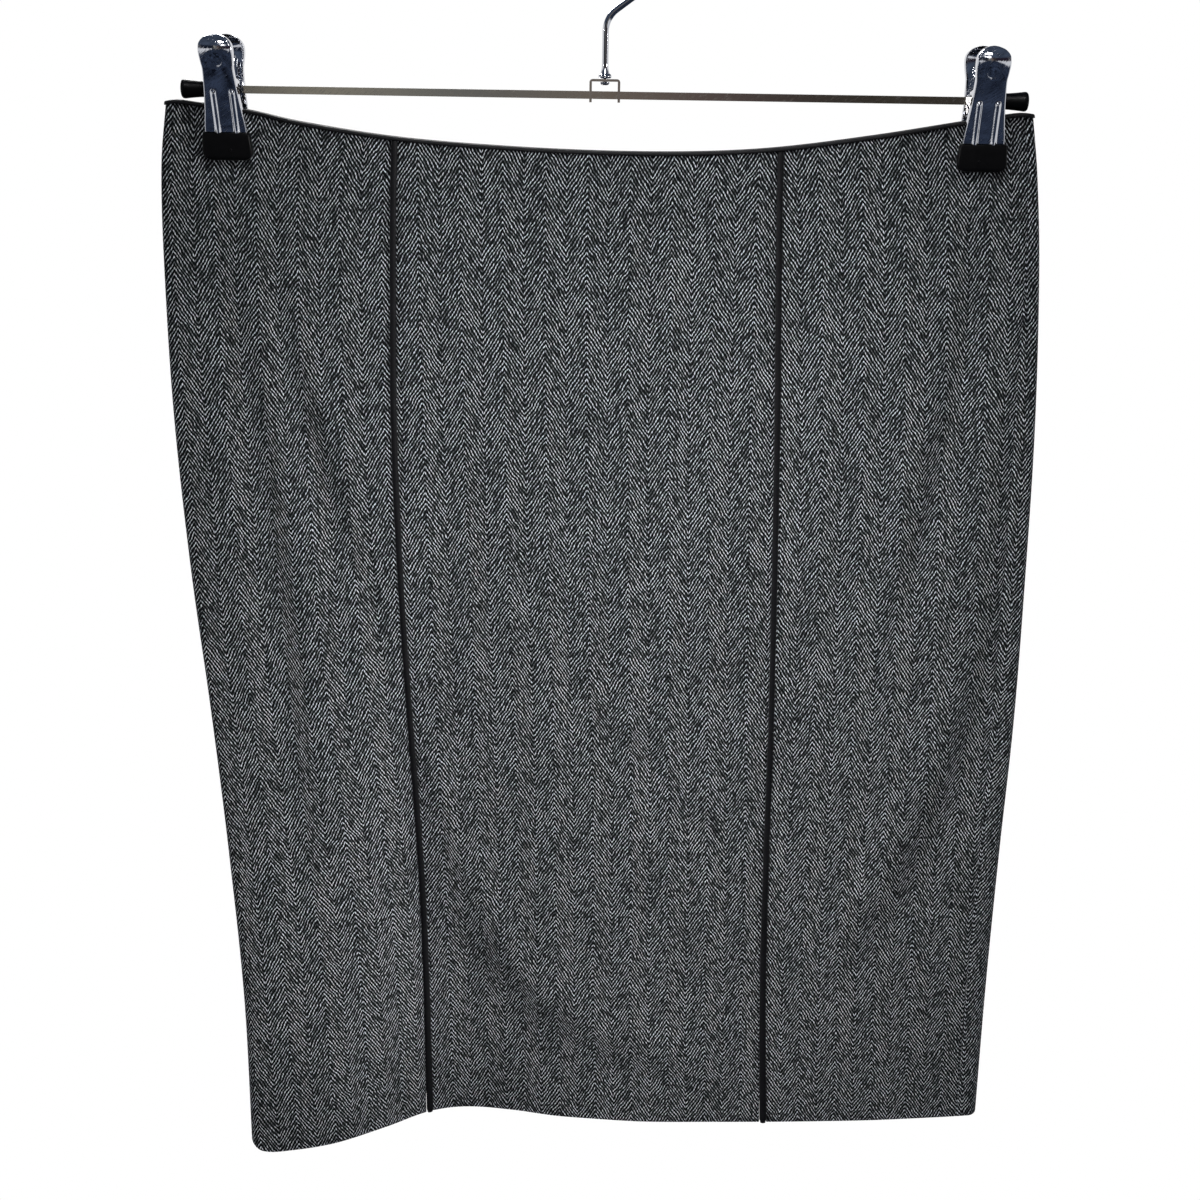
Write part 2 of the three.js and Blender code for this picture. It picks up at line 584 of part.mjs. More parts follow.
// The rubber boot is a rounded sleeve over the plate's jaw
const BOOT = { topHalf: 11.5, bottomHalf: 12.4, corner: 3.4, bevel: 0.9, outer: 7.4, tip: 0.9 };
const jawInner = PINCHED_HALF_GAP + CLOTH / 2 + SEAM_GAP;

function bootSolid() {
  const { topHalf, bottomHalf, corner, bevel, outer, tip } = BOOT;
  const [top, bottom, low] = [JAW_TOP - bevel, JAW_BOTTOM + bevel, JAW_BOTTOM + bevel + corner];
  const shape = new THREE.Shape();
  shape.moveTo(-topHalf + bevel, top);
  shape.lineTo(-bottomHalf + bevel, low);
  shape.quadraticCurveTo(-bottomHalf + bevel, bottom, -bottomHalf + bevel + corner, bottom);
  shape.lineTo(bottomHalf - bevel - corner, bottom);
  shape.quadraticCurveTo(bottomHalf - bevel, bottom, bottomHalf - bevel, low);
  shape.lineTo(topHalf - bevel, top);
  shape.closePath();
  const depth = outer - jawInner - 2 * bevel;
  const geometry = new THREE.ExtrudeGeometry(shape, {
    depth, bevelThickness: bevel, bevelSize: bevel, bevelSegments: 2, curveSegments: 4,
  });
  geometry.rotateX(Math.PI / 2).translate(0, -jawInner - bevel, 0);
  // the outer face comes in towards the tip
  const p = geometry.getAttribute("position");
  for (let i = 0; i < p.count; i++) {
    const share = (p.getY(i) + jawInner) / (jawInner - outer);
    const down = (JAW_TOP - p.getZ(i)) / (JAW_TOP - JAW_BOTTOM);
    p.setY(i, p.getY(i) + tip * share * down);
  }
  const [upper, lower] = PLATE.slice(-2);
  const lean = (upper.face - lower.face) / (upper.z - lower.z);
  const pocket = [JAW_TOP + 2, lower.z - SEAM_GAP].map((z) => {
    const front = lower.face + lower.crown + lean * (z - lower.z) + SEAM_GAP;
    const rear = front - lower.crown - lower.lip - 2 * SEAM_GAP;
    const half = lower.half + SEAM_GAP;
    const corners = [[-half, front], [half, front], [half, rear], [-half, rear]];
    return corners.map(([x, y]) => new THREE.Vector3(x, -y, z));
  });
  return toSolid(geometry).subtract(toSolid(loft(pocket)));
}

// The spring sits round the rod between the ears, and its two legs press the plates' tops apart
const SPRING = { inner: 3.3, outer: 4.7, half: 4.5, wire: 0.7, legTop: 14.5, legReach: 14.2 };

function springSolid() {
  const { inner, outer, half, wire, legTop, legReach } = SPRING;
  const ring = [[inner, -half], [outer, -half], [outer, half], [inner, half], [inner, -half]];
  const coil = new THREE.LatheGeometry(ring.map(([r, z]) => new THREE.Vector2(r, z)), 16).rotateZ(Math.PI / 2);
  const middle = (inner + outer) / 2;
  let solid = toSolid(coil);
  for (const side of [-1, 1]) {
    const foot = new THREE.Vector3(side * (half - wire), side * middle, 0);
    const leg = new THREE.LineCurve3(foot, new THREE.Vector3(side * (half - wire), side * legReach, legTop));
    const round = new THREE.Shape().absarc(0, 0, wire, 0, 2 * Math.PI, false);
    const wireLeg = new THREE.ExtrudeGeometry(round, { extrudePath: leg, steps: 1, curveSegments: 3 });
    solid = solid.add(toSolid(wireLeg));
  }
  return solid;
}

function clipNodes(side) {
  const name = side < 0 ? "left" : "right";
  const seat = (solid, turn) =>
    toGeometry(solid).rotateZ(turn).translate(side * CLIP_OFFSET, 0, -RAIL_TO_ROD);
  return [
    node(`clip_${name}_front_plate`, seat(plateSolid(false), 0), chrome),
    node(`clip_${name}_rear_plate`, seat(plateSolid(true), Math.PI), chrome),
    node(`clip_${name}_front_boot`, seat(bootSolid(), 0), blackRubber),
    node(`clip_${name}_rear_boot`, seat(bootSolid(), Math.PI), blackRubber),
    node(`clip_${name}_spring`, seat(springSolid(), 0), chrome),
  ];
}

const skirt = new THREE.Group();
for (const panel of PANELS) skirt.add(node(panel.name, panelGeometry(panel), herringbone));
skirt.add(
  node("piping_left", pipingGeometry("pipeLeft"), blackTrim),
  node("piping_right", pipingGeometry("pipeRight"), blackTrim),
  node("waist_binding", bindingGeometry(), blackTrim),
);

const hanger = new THREE.Group();
hanger.add(
  node("hook", hookGeometry(), chrome),
  node("hook_bracket", bracketGeometry(), chrome),
  node("hanger_rod", rodGeometry(), chrome),
  node("rod_cap_left", endCapGeometry(-1), blackRubber),
  node("rod_cap_right", endCapGeometry(1), blackRubber),
  ...clipNodes(-1),
  ...clipNodes(1),
);

const whole = new THREE.Group();
whole.add(skirt, hanger);

export default whole;
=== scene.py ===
"""A knee-length pencil skirt in herringbone double jersey, clipped flat by its waist to a chrome clip hanger.

The frame has its origin inside the top of the hook, +Z up and the front towards -Y. Tables and fields are in
millimetres, as a pattern maker writes them, and meshes are in metres.
"""

import logging
import math
from dataclasses import dataclass, field
from enum import Enum
from typing import Any, Sequence

import bpy
import numpy as np
from mathutils import Matrix, Vector


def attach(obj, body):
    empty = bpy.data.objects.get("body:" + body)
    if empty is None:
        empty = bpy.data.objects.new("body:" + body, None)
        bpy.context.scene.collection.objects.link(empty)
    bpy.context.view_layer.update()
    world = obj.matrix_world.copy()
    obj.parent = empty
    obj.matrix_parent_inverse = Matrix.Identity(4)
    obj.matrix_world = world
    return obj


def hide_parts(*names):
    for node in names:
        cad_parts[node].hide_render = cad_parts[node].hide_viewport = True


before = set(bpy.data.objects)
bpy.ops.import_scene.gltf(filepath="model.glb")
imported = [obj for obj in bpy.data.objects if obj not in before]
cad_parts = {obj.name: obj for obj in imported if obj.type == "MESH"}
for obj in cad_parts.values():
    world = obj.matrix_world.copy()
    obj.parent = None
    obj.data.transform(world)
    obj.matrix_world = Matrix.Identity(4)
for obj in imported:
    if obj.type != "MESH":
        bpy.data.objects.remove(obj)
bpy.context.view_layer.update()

MM = 0.001
BODY = "root"
log = logging.getLogger("pencil skirt")

Array = np.ndarray
Surface = tuple[Array, list[list[int]]]
Tree, Node, Material = bpy.types.NodeTree, bpy.types.Node, bpy.types.Material
WHITE = (1.0, 1.0, 1.0, 1.0)


# ---- Shared helpers: colours, nodes and meshes ----


def linear(colour: str) -> tuple[float, float, float, float]:
    """Turns an sRGB colour into the linear values that shaders use.

    Args:
        colour: "#rrggbb".

    Returns:
        Linear red, green and blue, and an alpha of 1.
    """
    parts = [int(colour[i : i + 2], 16) / 255 for i in (1, 3, 5)]
    red, green, blue = (c / 12.92 if c <= 0.04045 else ((c + 0.055) / 1.055) ** 2.4 for c in parts)
    return (red, green, blue, 1.0)


def add_node(
    tree: Tree, kind: str, settings: dict[str, Any] | None = None, inputs: dict[str | int, Any] | None = None
) -> Node:
    """Adds one node with its settings, values and links.

    Args:
        tree: the node tree that gets the node.
        kind: the node's type name.
        settings: the node's own properties by name.
        inputs: values by socket name or number. A node or one of its outputs is linked, anything else is set.

    Returns:
        The new node.
    """
    node = tree.nodes.new(kind)
    for name, value in (settings or {}).items():
        setattr(node, name, value)
    plug(tree, node, inputs or {})
    return node


def plug(tree: Tree, node: Node, inputs: dict[str | int, Any]) -> None:
    """Links or sets a node's inputs, as add_node says."""
    for key, value in inputs.items():
        source = value.outputs[0] if isinstance(value, Node) else value
        if isinstance(source, bpy.types.NodeSocket):
            tree.links.new(source, node.inputs[key])
        else:
            node.inputs[key].default_value = source


def calc(tree: Tree, operation: str, *values: Any, clamp: bool = False) -> Node:
    """Adds a math node on numbers, nodes or sockets."""
    return add_node(tree, "ShaderNodeMath", {"operation": operation, "use_clamp": clamp}, dict(enumerate(values)))


def remap(
    tree: Tree, value: Any, start: float = 0.0, end: float = 1.0, low: float = 0.0, high: float = 1.0,
    smooth: bool = False,
) -> Node:
    """Adds a node that takes start..end to low..high, in an S-shaped way where smooth."""
    way = {"interpolation_type": "SMOOTHSTEP" if smooth else "LINEAR"}
    ends = {"From Min": start, "From Max": end, "To Min": low, "To Max": high}
    return add_node(tree, "ShaderNodeMapRange", way, {"Value": value, **ends})


def noise(tree: Tree, place: Any, scale: float, detail: float, space: str = "3D", roughness: float = 0.5) -> Node:
    """Adds a cloudy noise."""
    inputs = {"Vector": place, "Scale": scale, "Detail": detail, "Roughness": roughness}
    return add_node(tree, "ShaderNodeTexNoise", {"noise_dimensions": space}, inputs)


def blend(tree: Tree, share: Any, first: Any, second: Any) -> bpy.types.NodeSocket:
    """Adds a mix of two colours, each "#rrggbb", a node or a socket, and gives the mixed colour."""
    sides = [linear(side) if isinstance(side, str) else side for side in (first, second)]
    return add_node(tree, "ShaderNodeMix", {"data_type": "RGBA"}, {0: share, 6: sides[0], 7: sides[1]}).outputs[2]


def bump(tree: Tree, height: Any, distance: float, strength: float) -> Node:
    """Adds a bump, whose distance is in metres."""
    return add_node(tree, "ShaderNodeBump", inputs={"Height": height, "Distance": distance, "Strength": strength})


def flat_cloth(tree: Tree) -> Node:
    """Adds the place on the flat cloth, in millimetres."""
    return add_node(tree, "ShaderNodeUVMap", {"uv_map": "flat_cloth"})


def new_material(name: str) -> tuple[Material, Tree, Node]:
    """Makes an empty node material.

    Args:
        name: what the real material is and how its surface was made.

    Returns:
        The material, its tree and its Principled shader, which is already linked to the output.
    """
    material = bpy.data.materials.new(name)
    material.use_nodes = True
    tree = material.node_tree
    tree.nodes.clear()
    shader = add_node(tree, "ShaderNodeBsdfPrincipled")
    add_node(tree, "ShaderNodeOutputMaterial", inputs={"Surface": shader})
    return material, tree, shader


def dress(
    node: str,
    kind: str,
    surface: Surface,
    materials: Sequence[Material],
    uv: Array | None = None,
    which: Sequence[int] | None = None,
    smooth_angle: float = 40.0,
) -> bpy.types.Object:
    """Makes a mesh object that rides on the skirt's one body and stands for a solid.

    Args:
        node: the solid's name, which the object's name ends with.
        kind: the first word of the object's name.
        surface: its points in millimetres, one row each, and its faces, as rows of point numbers.
        materials: its finishes.
        uv: a place on the flat cloth in millimetres for each point.
        which: the number of the finish of each face.
        smooth_angle: edges sharper than this many degrees stay crisp.

    Returns:
        The object, in the scene.
    """
    points, faces = surface
    name = f"{kind}_{node}"
    mesh = bpy.data.meshes.new(name)
    mesh.from_pydata((np.asarray(points, float) * MM).tolist(), [], [list(f) for f in faces])
    if uv is not None:
        layer = mesh.uv_layers.new(name="flat_cloth")
        corners = np.empty(len(mesh.loops), np.int32)
        mesh.loops.foreach_get("vertex_index", corners)
        layer.uv.foreach_set("vector", np.asarray(uv, np.float32)[corners].ravel())
    if which is not None:
        mesh.polygons.foreach_set("material_index", np.asarray(which, np.int32))
    for material in materials:
        mesh.materials.append(material)
    mesh.validate()
    mesh.shade_smooth()
    mesh.set_sharp_from_angle(angle=math.radians(smooth_angle))
    made = bpy.data.objects.new(name, mesh)
    bpy.context.collection.objects.link(made)
    turn_outwards(made)
    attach(made, BODY)
    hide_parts(node)
    log.info("%s: %d points", name, len(points))
    return made


def turn_outwards(made: bpy.types.Object) -> None:
    """Flips a closed mesh whose faces point inwards, by the sign of its volume."""
    mesh = made.data
    mesh.calc_loop_triangles()
    corners = np.empty(len(mesh.loop_triangles) * 3, np.int32)
    mesh.loop_triangles.foreach_get("vertices", corners)
    places = np.empty(len(mesh.vertices) * 3)
    mesh.vertices.foreach_get("co", places)
    a, b, c = (places.reshape(-1, 3)[corners[k::3]] for k in range(3))
    if float((a * np.cross(b, c)).sum()) < 0:
        mesh.flip_normals()


def band(first: int, second: int, count: int, closed: bool = True) -> list[list[int]]:
    """Quads between two rows of points.

    Args:
        first: number of the first row's first point.
        second: number of the second row's first point.
        count: how many points a row has.
        closed: whether the last point of a row joins its first.

    Returns:
        The faces.
    """
    steps = count if closed else count - 1
    return [[first + k, first + (k + 1) % count, second + (k + 1) % count, second + k] for k in range(steps)]


def loft(rings: Sequence[Array], capped: bool = True) -> Surface:
    """A surface through closed rings of equal count.

    Args:
        rings: each an array of points.
        capped: whether a face closes each end.

    Returns:
        The points and the faces.
    """
    count = len(rings[0])
    faces = [face for i in range(len(rings) - 1) for face in band(i * count, (i + 1) * count, count)]
    if capped:
        last = (len(rings) - 1) * count
        faces += [list(range(count))[::-1], list(range(last, last + count))]
    return np.concatenate(rings), faces


def sweep(path: Array, radii: Array, sides: int) -> Surface:
    """A round wire along a path.

    Args:
        path: points of the wire's centre.
        radii: its radius at each point.
        sides: how many sides it has.

    Returns:
        The points and the faces of the closed wire.
    """
    ahead = np.gradient(path, axis=0)
    ahead /= np.linalg.norm(ahead, axis=1)[:, None]
    side = np.cross(ahead[0], (0.31, 0.87, 0.11))
    rings = []
    angles = np.linspace(0, 2 * np.pi, sides, endpoint=False)
    for centre, forward, radius in zip(path, ahead, radii):
        side = side - forward * side.dot(forward)
        side /= np.linalg.norm(side)
        over = np.cross(forward, side)
        rings.append(centre + radius * (np.outer(np.cos(angles), side) + np.outer(np.sin(angles), over)))
    return loft(rings)


def turned(profile: Sequence[tuple[float, float]], sides: int) -> Surface:
    """A body turned on a lathe about Z.

    Args:
        profile: radius and height pairs.
        sides: how many sides it has.

    Returns:
        The points and the faces.
    """
    angles = np.linspace(0, 2 * np.pi, sides, endpoint=False)
    around = np.stack([np.cos(angles), np.sin(angles), np.zeros(sides)], axis=1)
    return loft([around * radius + (0, 0, height) for radius, height in profile])


def together(parts: Sequence[Surface]) -> Surface:
    """Puts several closed surfaces into one list of points and faces."""
    points: list[Array] = []
    faces: list[list[int]] = []
    for more, with_faces in parts:
        start = sum(len(p) for p in points)
        points.append(more)
        faces += [[k + start for k in face] for face in with_faces]
    return np.concatenate(points), faces


def smooth_table(keys: Array, values: Array, at: Array) -> Array:
    """A cubic curve through a table's rows, whose slope at each row is that between its neighbours.

    Args:
        keys: where the rows are, rising.
        values: the value at each row.
        at: the places that are asked for.

    Returns:
        The value at each place.
    """
    last = len(keys) - 1
    before, after = np.maximum(np.arange(last + 1) - 1, 0), np.minimum(np.arange(last + 1) + 1, last)
    slope = (values[after] - values[before]) / (keys[after] - keys[before])
    i = np.clip(np.searchsorted(keys, at, side="right") - 1, 0, last - 1)
    span = keys[i + 1] - keys[i]
    s = np.clip((at - keys[i]) / span, 0, 1)
    s2, s3 = s * s, s * s * s
    along = values[i] * (2 * s3 - 3 * s2 + 1) + values[i + 1] * (3 * s2 - 2 * s3)
    return along + span * (slope[i] * (s3 - 2 * s2 + s) + slope[i + 1] * (s3 - s2))


# ---- Finishes ----


@dataclass(frozen=True)
class HerringboneJersey:
    """Double jersey knitted in a near-black and a light grey yarn.

    The light yarn comes to the face in short stitches that line up on a slant, so the eye sees fine broken
    lines which turn at every stripe, and a soft grey from further off.
    """

    name: str = "double jersey, herringbone knitted"
    ground: str = "#06080b"
    light: str = "#e4eaf2"
    stripe: float = 10.7  # mm, one direction of the slant
    rise: float = 2.81  # mm between two lines along the cloth
    run: float = 1.80  # mm between two lines across the cloth
    wale: float = 0.94  # mm, drawn twice as wide as it is knitted, so that the stitches show
    first_peak: float = 0.6  # mm from the panel's middle

    def build(self) -> Material:
        """Makes the material, whose pattern is laid out in the millimetres of the flat cloth."""
        material, tree, shader = new_material(f"{self.name}, peak {self.first_peak:g}")
        flat = flat_cloth(tree)
        # the yarns' own unevenness bends the lines a little
        wander = noise(tree, flat, 0.16, 2.0, "2D").outputs["Color"]
        shift = add_node(
            tree, "ShaderNodeVectorMath", {"operation": "MULTIPLY_ADD"}, {0: wander, 1: (1.7, 1.9, 0.0), 2: flat}
        )
        place = add_node(tree, "ShaderNodeSeparateXYZ", inputs={0: shift}).outputs
        across = calc(tree, "SUBTRACT", place[0], self.first_peak + 0.85)
        lines_across = calc(tree, "DIVIDE", calc(tree, "PINGPONG", across, self.stripe), self.run)
        phase = calc(tree, "SUBTRACT", calc(tree, "DIVIDE", place[1], self.rise), lines_across)
        ridge = remap(tree, calc(tree, "PINGPONG", phase, 0.5), 0.3, 0.46, smooth=True)
        # one light stitch in each wale, and not two alike
        wales = calc(tree, "DIVIDE", across, self.wale)
        stitch = remap(tree, calc(tree, "PINGPONG", wales, 0.5), 0.0, 0.36, 0.06, 1.0, smooth=True)
        cell = {0: calc(tree, "FLOOR", wales), 1: calc(tree, "FLOOR", phase)}
        place = add_node(tree, "ShaderNodeCombineXYZ", inputs=cell)
        chance = add_node(tree, "ShaderNodeTexWhiteNoise", {"noise_dimensions": "2D"}, {"Vector": place})
        strength = remap(tree, chance.outputs["Value"], low=0.1, high=1.7)
        shown = calc(tree, "MULTIPLY", calc(tree, "MULTIPLY", ridge, stitch), strength)
        # the light yarn sits a little deeper in places, so the cloth clouds softly over a few centimetres
        clouded = remap(tree, noise(tree, flat, 0.045, 3.0, "2D", 0.6), 0.3, 0.7, 0.82)
        amount = calc(tree, "MULTIPLY", shown, clouded, clamp=True)
        colour = blend(tree, amount, self.ground, self.light)
        plug(tree, shader, {"Base Color": colour, "Normal": bump(tree, amount, 0.00012, 0.55)})
        shader.inputs["Roughness"].default_value = 0.86
        shader.inputs["IOR"].default_value = 1.5
        shader.inputs["Specular IOR Level"].default_value = 0.1
        shader.inputs["Sheen Weight"].default_value = 0.03
        shader.inputs["Sheen Roughness"].default_value = 0.5
        return material


@dataclass(frozen=True)
class JerseyReverse:
    """The wrong side of the same jersey, where both yarns cross in a fine dark speckle."""

    name: str = "double jersey, wrong side"
    ground: str = "#17191c"
    light: str = "#6d7175"
    stitch: float = 1.1  # mm

    def build(self) -> Material:
        """Makes the material."""
        material, tree, shader = new_material(self.name)
        inputs = {"Vector": flat_cloth(tree), "Scale": 1 / self.stitch}
        cells = add_node(tree, "ShaderNodeTexVoronoi", {"voronoi_dimensions": "2D"}, inputs)
        speckle = remap(tree, cells.outputs["Distance"], 0.1, 0.55, 1.0, 0.0)
        colour = blend(tree, speckle, self.ground, self.light)
        plug(tree, shader, {"Base Color": colour, "Normal": bump(tree, speckle, 0.0001, 0.5)})
        shader.inputs["Roughness"].default_value = 0.9
        shader.inputs["Specular IOR Level"].default_value = 0.2
        return material


@dataclass(frozen=True)
class BiasTape:
    """Black viscose tape cut on the bias.

    Its close diagonal weave gives a faint sheen on the round of the piping and along the folded waist edge.
    """

    name: str = "viscose bias tape, satin woven"
    colour: str = "#0b0b0d"
    lighter: str = "#1c1c20"
    thread: float = 0.55  # mm between two diagonals, drawn coarser than woven so that they show

    def build(self) -> Material:
        """Makes the material."""
        material, tree, shader = new_material(self.name)
        flat = flat_cloth(tree)
        place = add_node(tree, "ShaderNodeSeparateXYZ", inputs={0: flat}).outputs
        slant = calc(tree, "ADD", place[0], place[1])
        cord = calc(tree, "PINGPONG", calc(tree, "DIVIDE", slant, self.thread), 0.5)
        worn = noise(tree, flat, 0.12, 3.0, "2D")
        colour = blend(tree, calc(tree, "MULTIPLY", cord, worn), self.colour, self.lighter)
        rough = remap(tree, worn, low=0.46, high=0.62)
        plug(tree, shader, {"Base Color": colour, "Roughness": rough, "Normal": bump(tree, cord, 0.00006, 0.5)})
        shader.inputs["Specular IOR Level"].default_value = 0.15
        shader.inputs["Sheen Weight"].default_value = 0.02
        shader.inputs["Sheen Roughness"].default_value = 0.35
        return material


class Wear(Enum):
    """How a chromed piece has been handled: the word, how much rougher its marks are, and their bump."""

    BRIGHT = ("bright", 0.03, 0.03)
    SCRATCHED = ("scratched", 0.3, 0.6)
    DULLED = ("dulled_reflection_tinted", 0.1, 0.05)


@dataclass(frozen=True)
class ChromePlate:
    """Bright chromium plated on steel.

    It mirrors the room. Handling leaves hairlines on the clips' faces, and the rod, on which the clips slide,
    is duller, with a brown tint in its colour that is painted reflection of the brown room it mirrors.
    """

    wear: Wear
    colour: str = "#c8c9cd"
    roughness: float = 0.05
    hairline: float = 0.5  # mm
    stretch: tuple[float, float, float] = (0.12, 0.3, 1.0)

    def build(self) -> Material:
        """Makes the material."""
        word, rougher, depth = self.wear.value
        material, tree, shader = new_material(f"chromium plated steel, {word}")
        where = add_node(tree, "ShaderNodeTexCoord").outputs["Object"]
        slanted = {"Vector": where, "Rotation": (0.0, math.radians(38), 0.0)}
        along = {0: add_node(tree, "ShaderNodeMapping", inputs=slanted)}
        along[1] = tuple(share / (self.hairline * MM) for share in self.stretch)
        grain = noise(tree, add_node(tree, "ShaderNodeVectorMath", {"operation": "MULTIPLY"}, along), 1.0, 2.0)
        marks = remap(tree, grain, 0.55, 0.72, self.roughness, self.roughness + rougher)
        shader.inputs["Base Color"].default_value = linear(self.colour)
        shader.inputs["Metallic"].default_value = 1.0
        plug(tree, shader, {"Roughness": marks, "Normal": bump(tree, grain, 0.00006, depth)})
        return material


@dataclass(frozen=True)
class MouldedRubber:
    """Black rubber from a polished mould: nearly black, with small soft highlights on its rounded edges."""

    name: str = "natural rubber, moulded"
    colour: str = "#060607"
    dusty: str = "#0e0e0f"
    roughness: float = 0.34

    def build(self) -> Material:
        """Makes the material."""
        material, tree, shader = new_material(self.name)
        dust = noise(tree, add_node(tree, "ShaderNodeTexCoord").outputs["Object"], 380.0, 4.0, roughness=0.65)
        colour = blend(tree, dust, self.colour, self.dusty)
        rough = remap(tree, dust, low=self.roughness - 0.06, high=self.roughness + 0.14)
        plug(tree, shader, {"Base Color": colour, "Roughness": rough, "Normal": bump(tree, dust, 0.00008, 0.25)})
        shader.inputs["Specular IOR Level"].default_value = 0.1
        return material


# ---- The skirt ----

CLOTH = 1.4
SEAM_GAP = 0.3
HEM_TURN_UP = 30.0
HEM_DROP = 583.8
LENGTH = HEM_DROP - 25.0
PIPING_WIDTH = 3.2
PIPING_THICKNESS = 2.6
PIPING_PROUD = 0.4
BINDING_END = 2.5 / LENGTH
HEM_FOLD_AT = 1 - HEM_TURN_UP / LENGTH
RAIL_TO_ROD = 88.02

# down, left, right, pipe_left, pipe_right, side_right, side_left, roll, fullness
SECTIONS = np.array([
    (0.0, -217.5, 212.5, -104.4, 88.4, 208.5, -209.5, 2.4, 0.8),
    (0.05, -221.5, 217.4, -105.6, 88.9, 212.8, -213.0, 2.5, 1.2),
    (0.13, -223.0, 222.5, -106.6, 90.4, 215.5, -214.0, 2.7, 2.0),
    (0.27, -222.0, 227.7, -107.4, 93.0, 217.2, -213.0, 3.2, 3.0),
    (0.42, -216.5, 230.2, -105.2, 95.2, 218.6, -208.5, 3.8, 3.8),
    (0.56, -208.4, 231.4, -101.7, 96.8, 219.2, -201.5, 4.4, 4.4),
    (0.7, -201.1, 230.4, -97.9, 97.6, 218.8, -195.0, 5.0, 5.0),
    (0.85, -195.0, 230.2, -95.8, 99.3, 218.6, -189.5, 5.5, 5.5),
    (1.0, -192.6, 231.3, -95.0, 103.0, 219.4, -186.4, 6.0, 6.0),
])
LEFT, RIGHT, PIPE_LEFT, PIPE_RIGHT, SIDE_RIGHT, SIDE_LEFT, ROLL, FULLNESS = range(1, 9)
WAIST_LINE = np.array([
    (-222, 8.2), (-214, 6.1), (-205, 6.9), (-178, 10.2), (-152, 15.6), (-104, 22.3), (-52, 25.9), (0, 27.6),
    (48, 27.2), (88, 24.5), (138, 17.6), (177, 10.9), (203, 6.7), (210, 6.3), (219, 8.0),
])
HEM_LINE = np.array([
    (-194, HEM_DROP - 7), (-189, HEM_DROP - 2.6), (-182, HEM_DROP - 0.2), (-170, HEM_DROP), (232, HEM_DROP),
])
HEM_SWING = np.array([
    (-195, -42), (-150, -27), (-120, -7.5), (-96, 10), (-74, 16), (-46, 13.5), (-16, 7), (44, 3), (104, 5),
    (163, 7), (232, 9),
], float)


class Face(Enum):
    """The two layers of the flat tube."""

    FRONT = -1
    BACK = 1


@dataclass(frozen=True)
class Crease:
    """A soft trough, or a ridge where depth is negative, along a curve by three places in X and drop."""

    face: Face
    start: tuple[float, float]
    middle: tuple[float, float]
    end: tuple[float, float]
    width: float
    depth: float
    steps: int = 10

    def path(self) -> Array:
        """Points along the curve, which passes by the middle."""
        start, middle, end = (np.array(p, float) for p in (self.start, self.middle, self.end))
        control = 2 * middle - start / 2 - end / 2
        t = np.linspace(0, 1, self.steps + 1)[:, None]
        return (1 - t) ** 2 * start + 2 * t * (1 - t) * control + t**2 * end

    def depth_at(self, x: Array, drop: Array) -> Array:
        """How deep it is at each place of the cloth, towards the inside of the tube."""
        path = self.path()
        nearest = np.full(x.shape, np.inf)
        along = np.zeros(x.shape)
        for i in range(self.steps):
            (ax, az), (bx, bz) = path[i], path[i + 1]
            dx, dz = bx - ax, bz - az
            s = np.clip(((x - ax) * dx + (drop - az) * dz) / (dx * dx + dz * dz), 0, 1)
            distance = np.hypot(x - ax - s * dx, drop - az - s * dz)
            closer = distance < nearest
            nearest = np.where(closer, distance, nearest)
            along = np.where(closer, (i + s) / self.steps, along)
        return self.depth * np.sin(np.pi * along) ** 0.8 * np.exp(-((nearest / self.width) ** 2))


def creases(face: Face, *rows: tuple[float, ...]) -> tuple[Crease, ...]:
    """Creases from rows of start, middle and end in X and drop, width and depth."""
    return tuple(Crease(face, row[0:2], row[2:4], row[4:6], *row[6:]) for row in rows)


# The drag folds of the hanging cloth, the same as in the solids
FOLDS = creases(
    Face.FRONT,
    (-201, 48, -172, 240, -156, 548, 17, 3.2), (-173, 72, -151, 190, -112, 285, 12, 1.8),
    (-103, 318, -62, 500, 84, 568, 19, 3.4), (196, 46, 183, 175, 161, 300, 14, 2.6),
    (217, 110, 218, 330, 142, 510, 17, 2.8), (-24, 262, 6, 335, 58, 402, 16, 1.4),
    (-128, 330, -126, 430, -127, 540, 16, -2.0), (20, 200, 34, 250, 48, 300, 26, -1.2),
) + creases(
    Face.BACK,
    (198, 48, 176, 260, 150, 520, 18, 3.0), (-196, 50, -166, 220, -96, 400, 17, 2.8),
    (150, 330, 70, 500, -60, 560, 20, 2.6), (-20, 120, -6, 240, -30, 380, 22, -1.2),
)

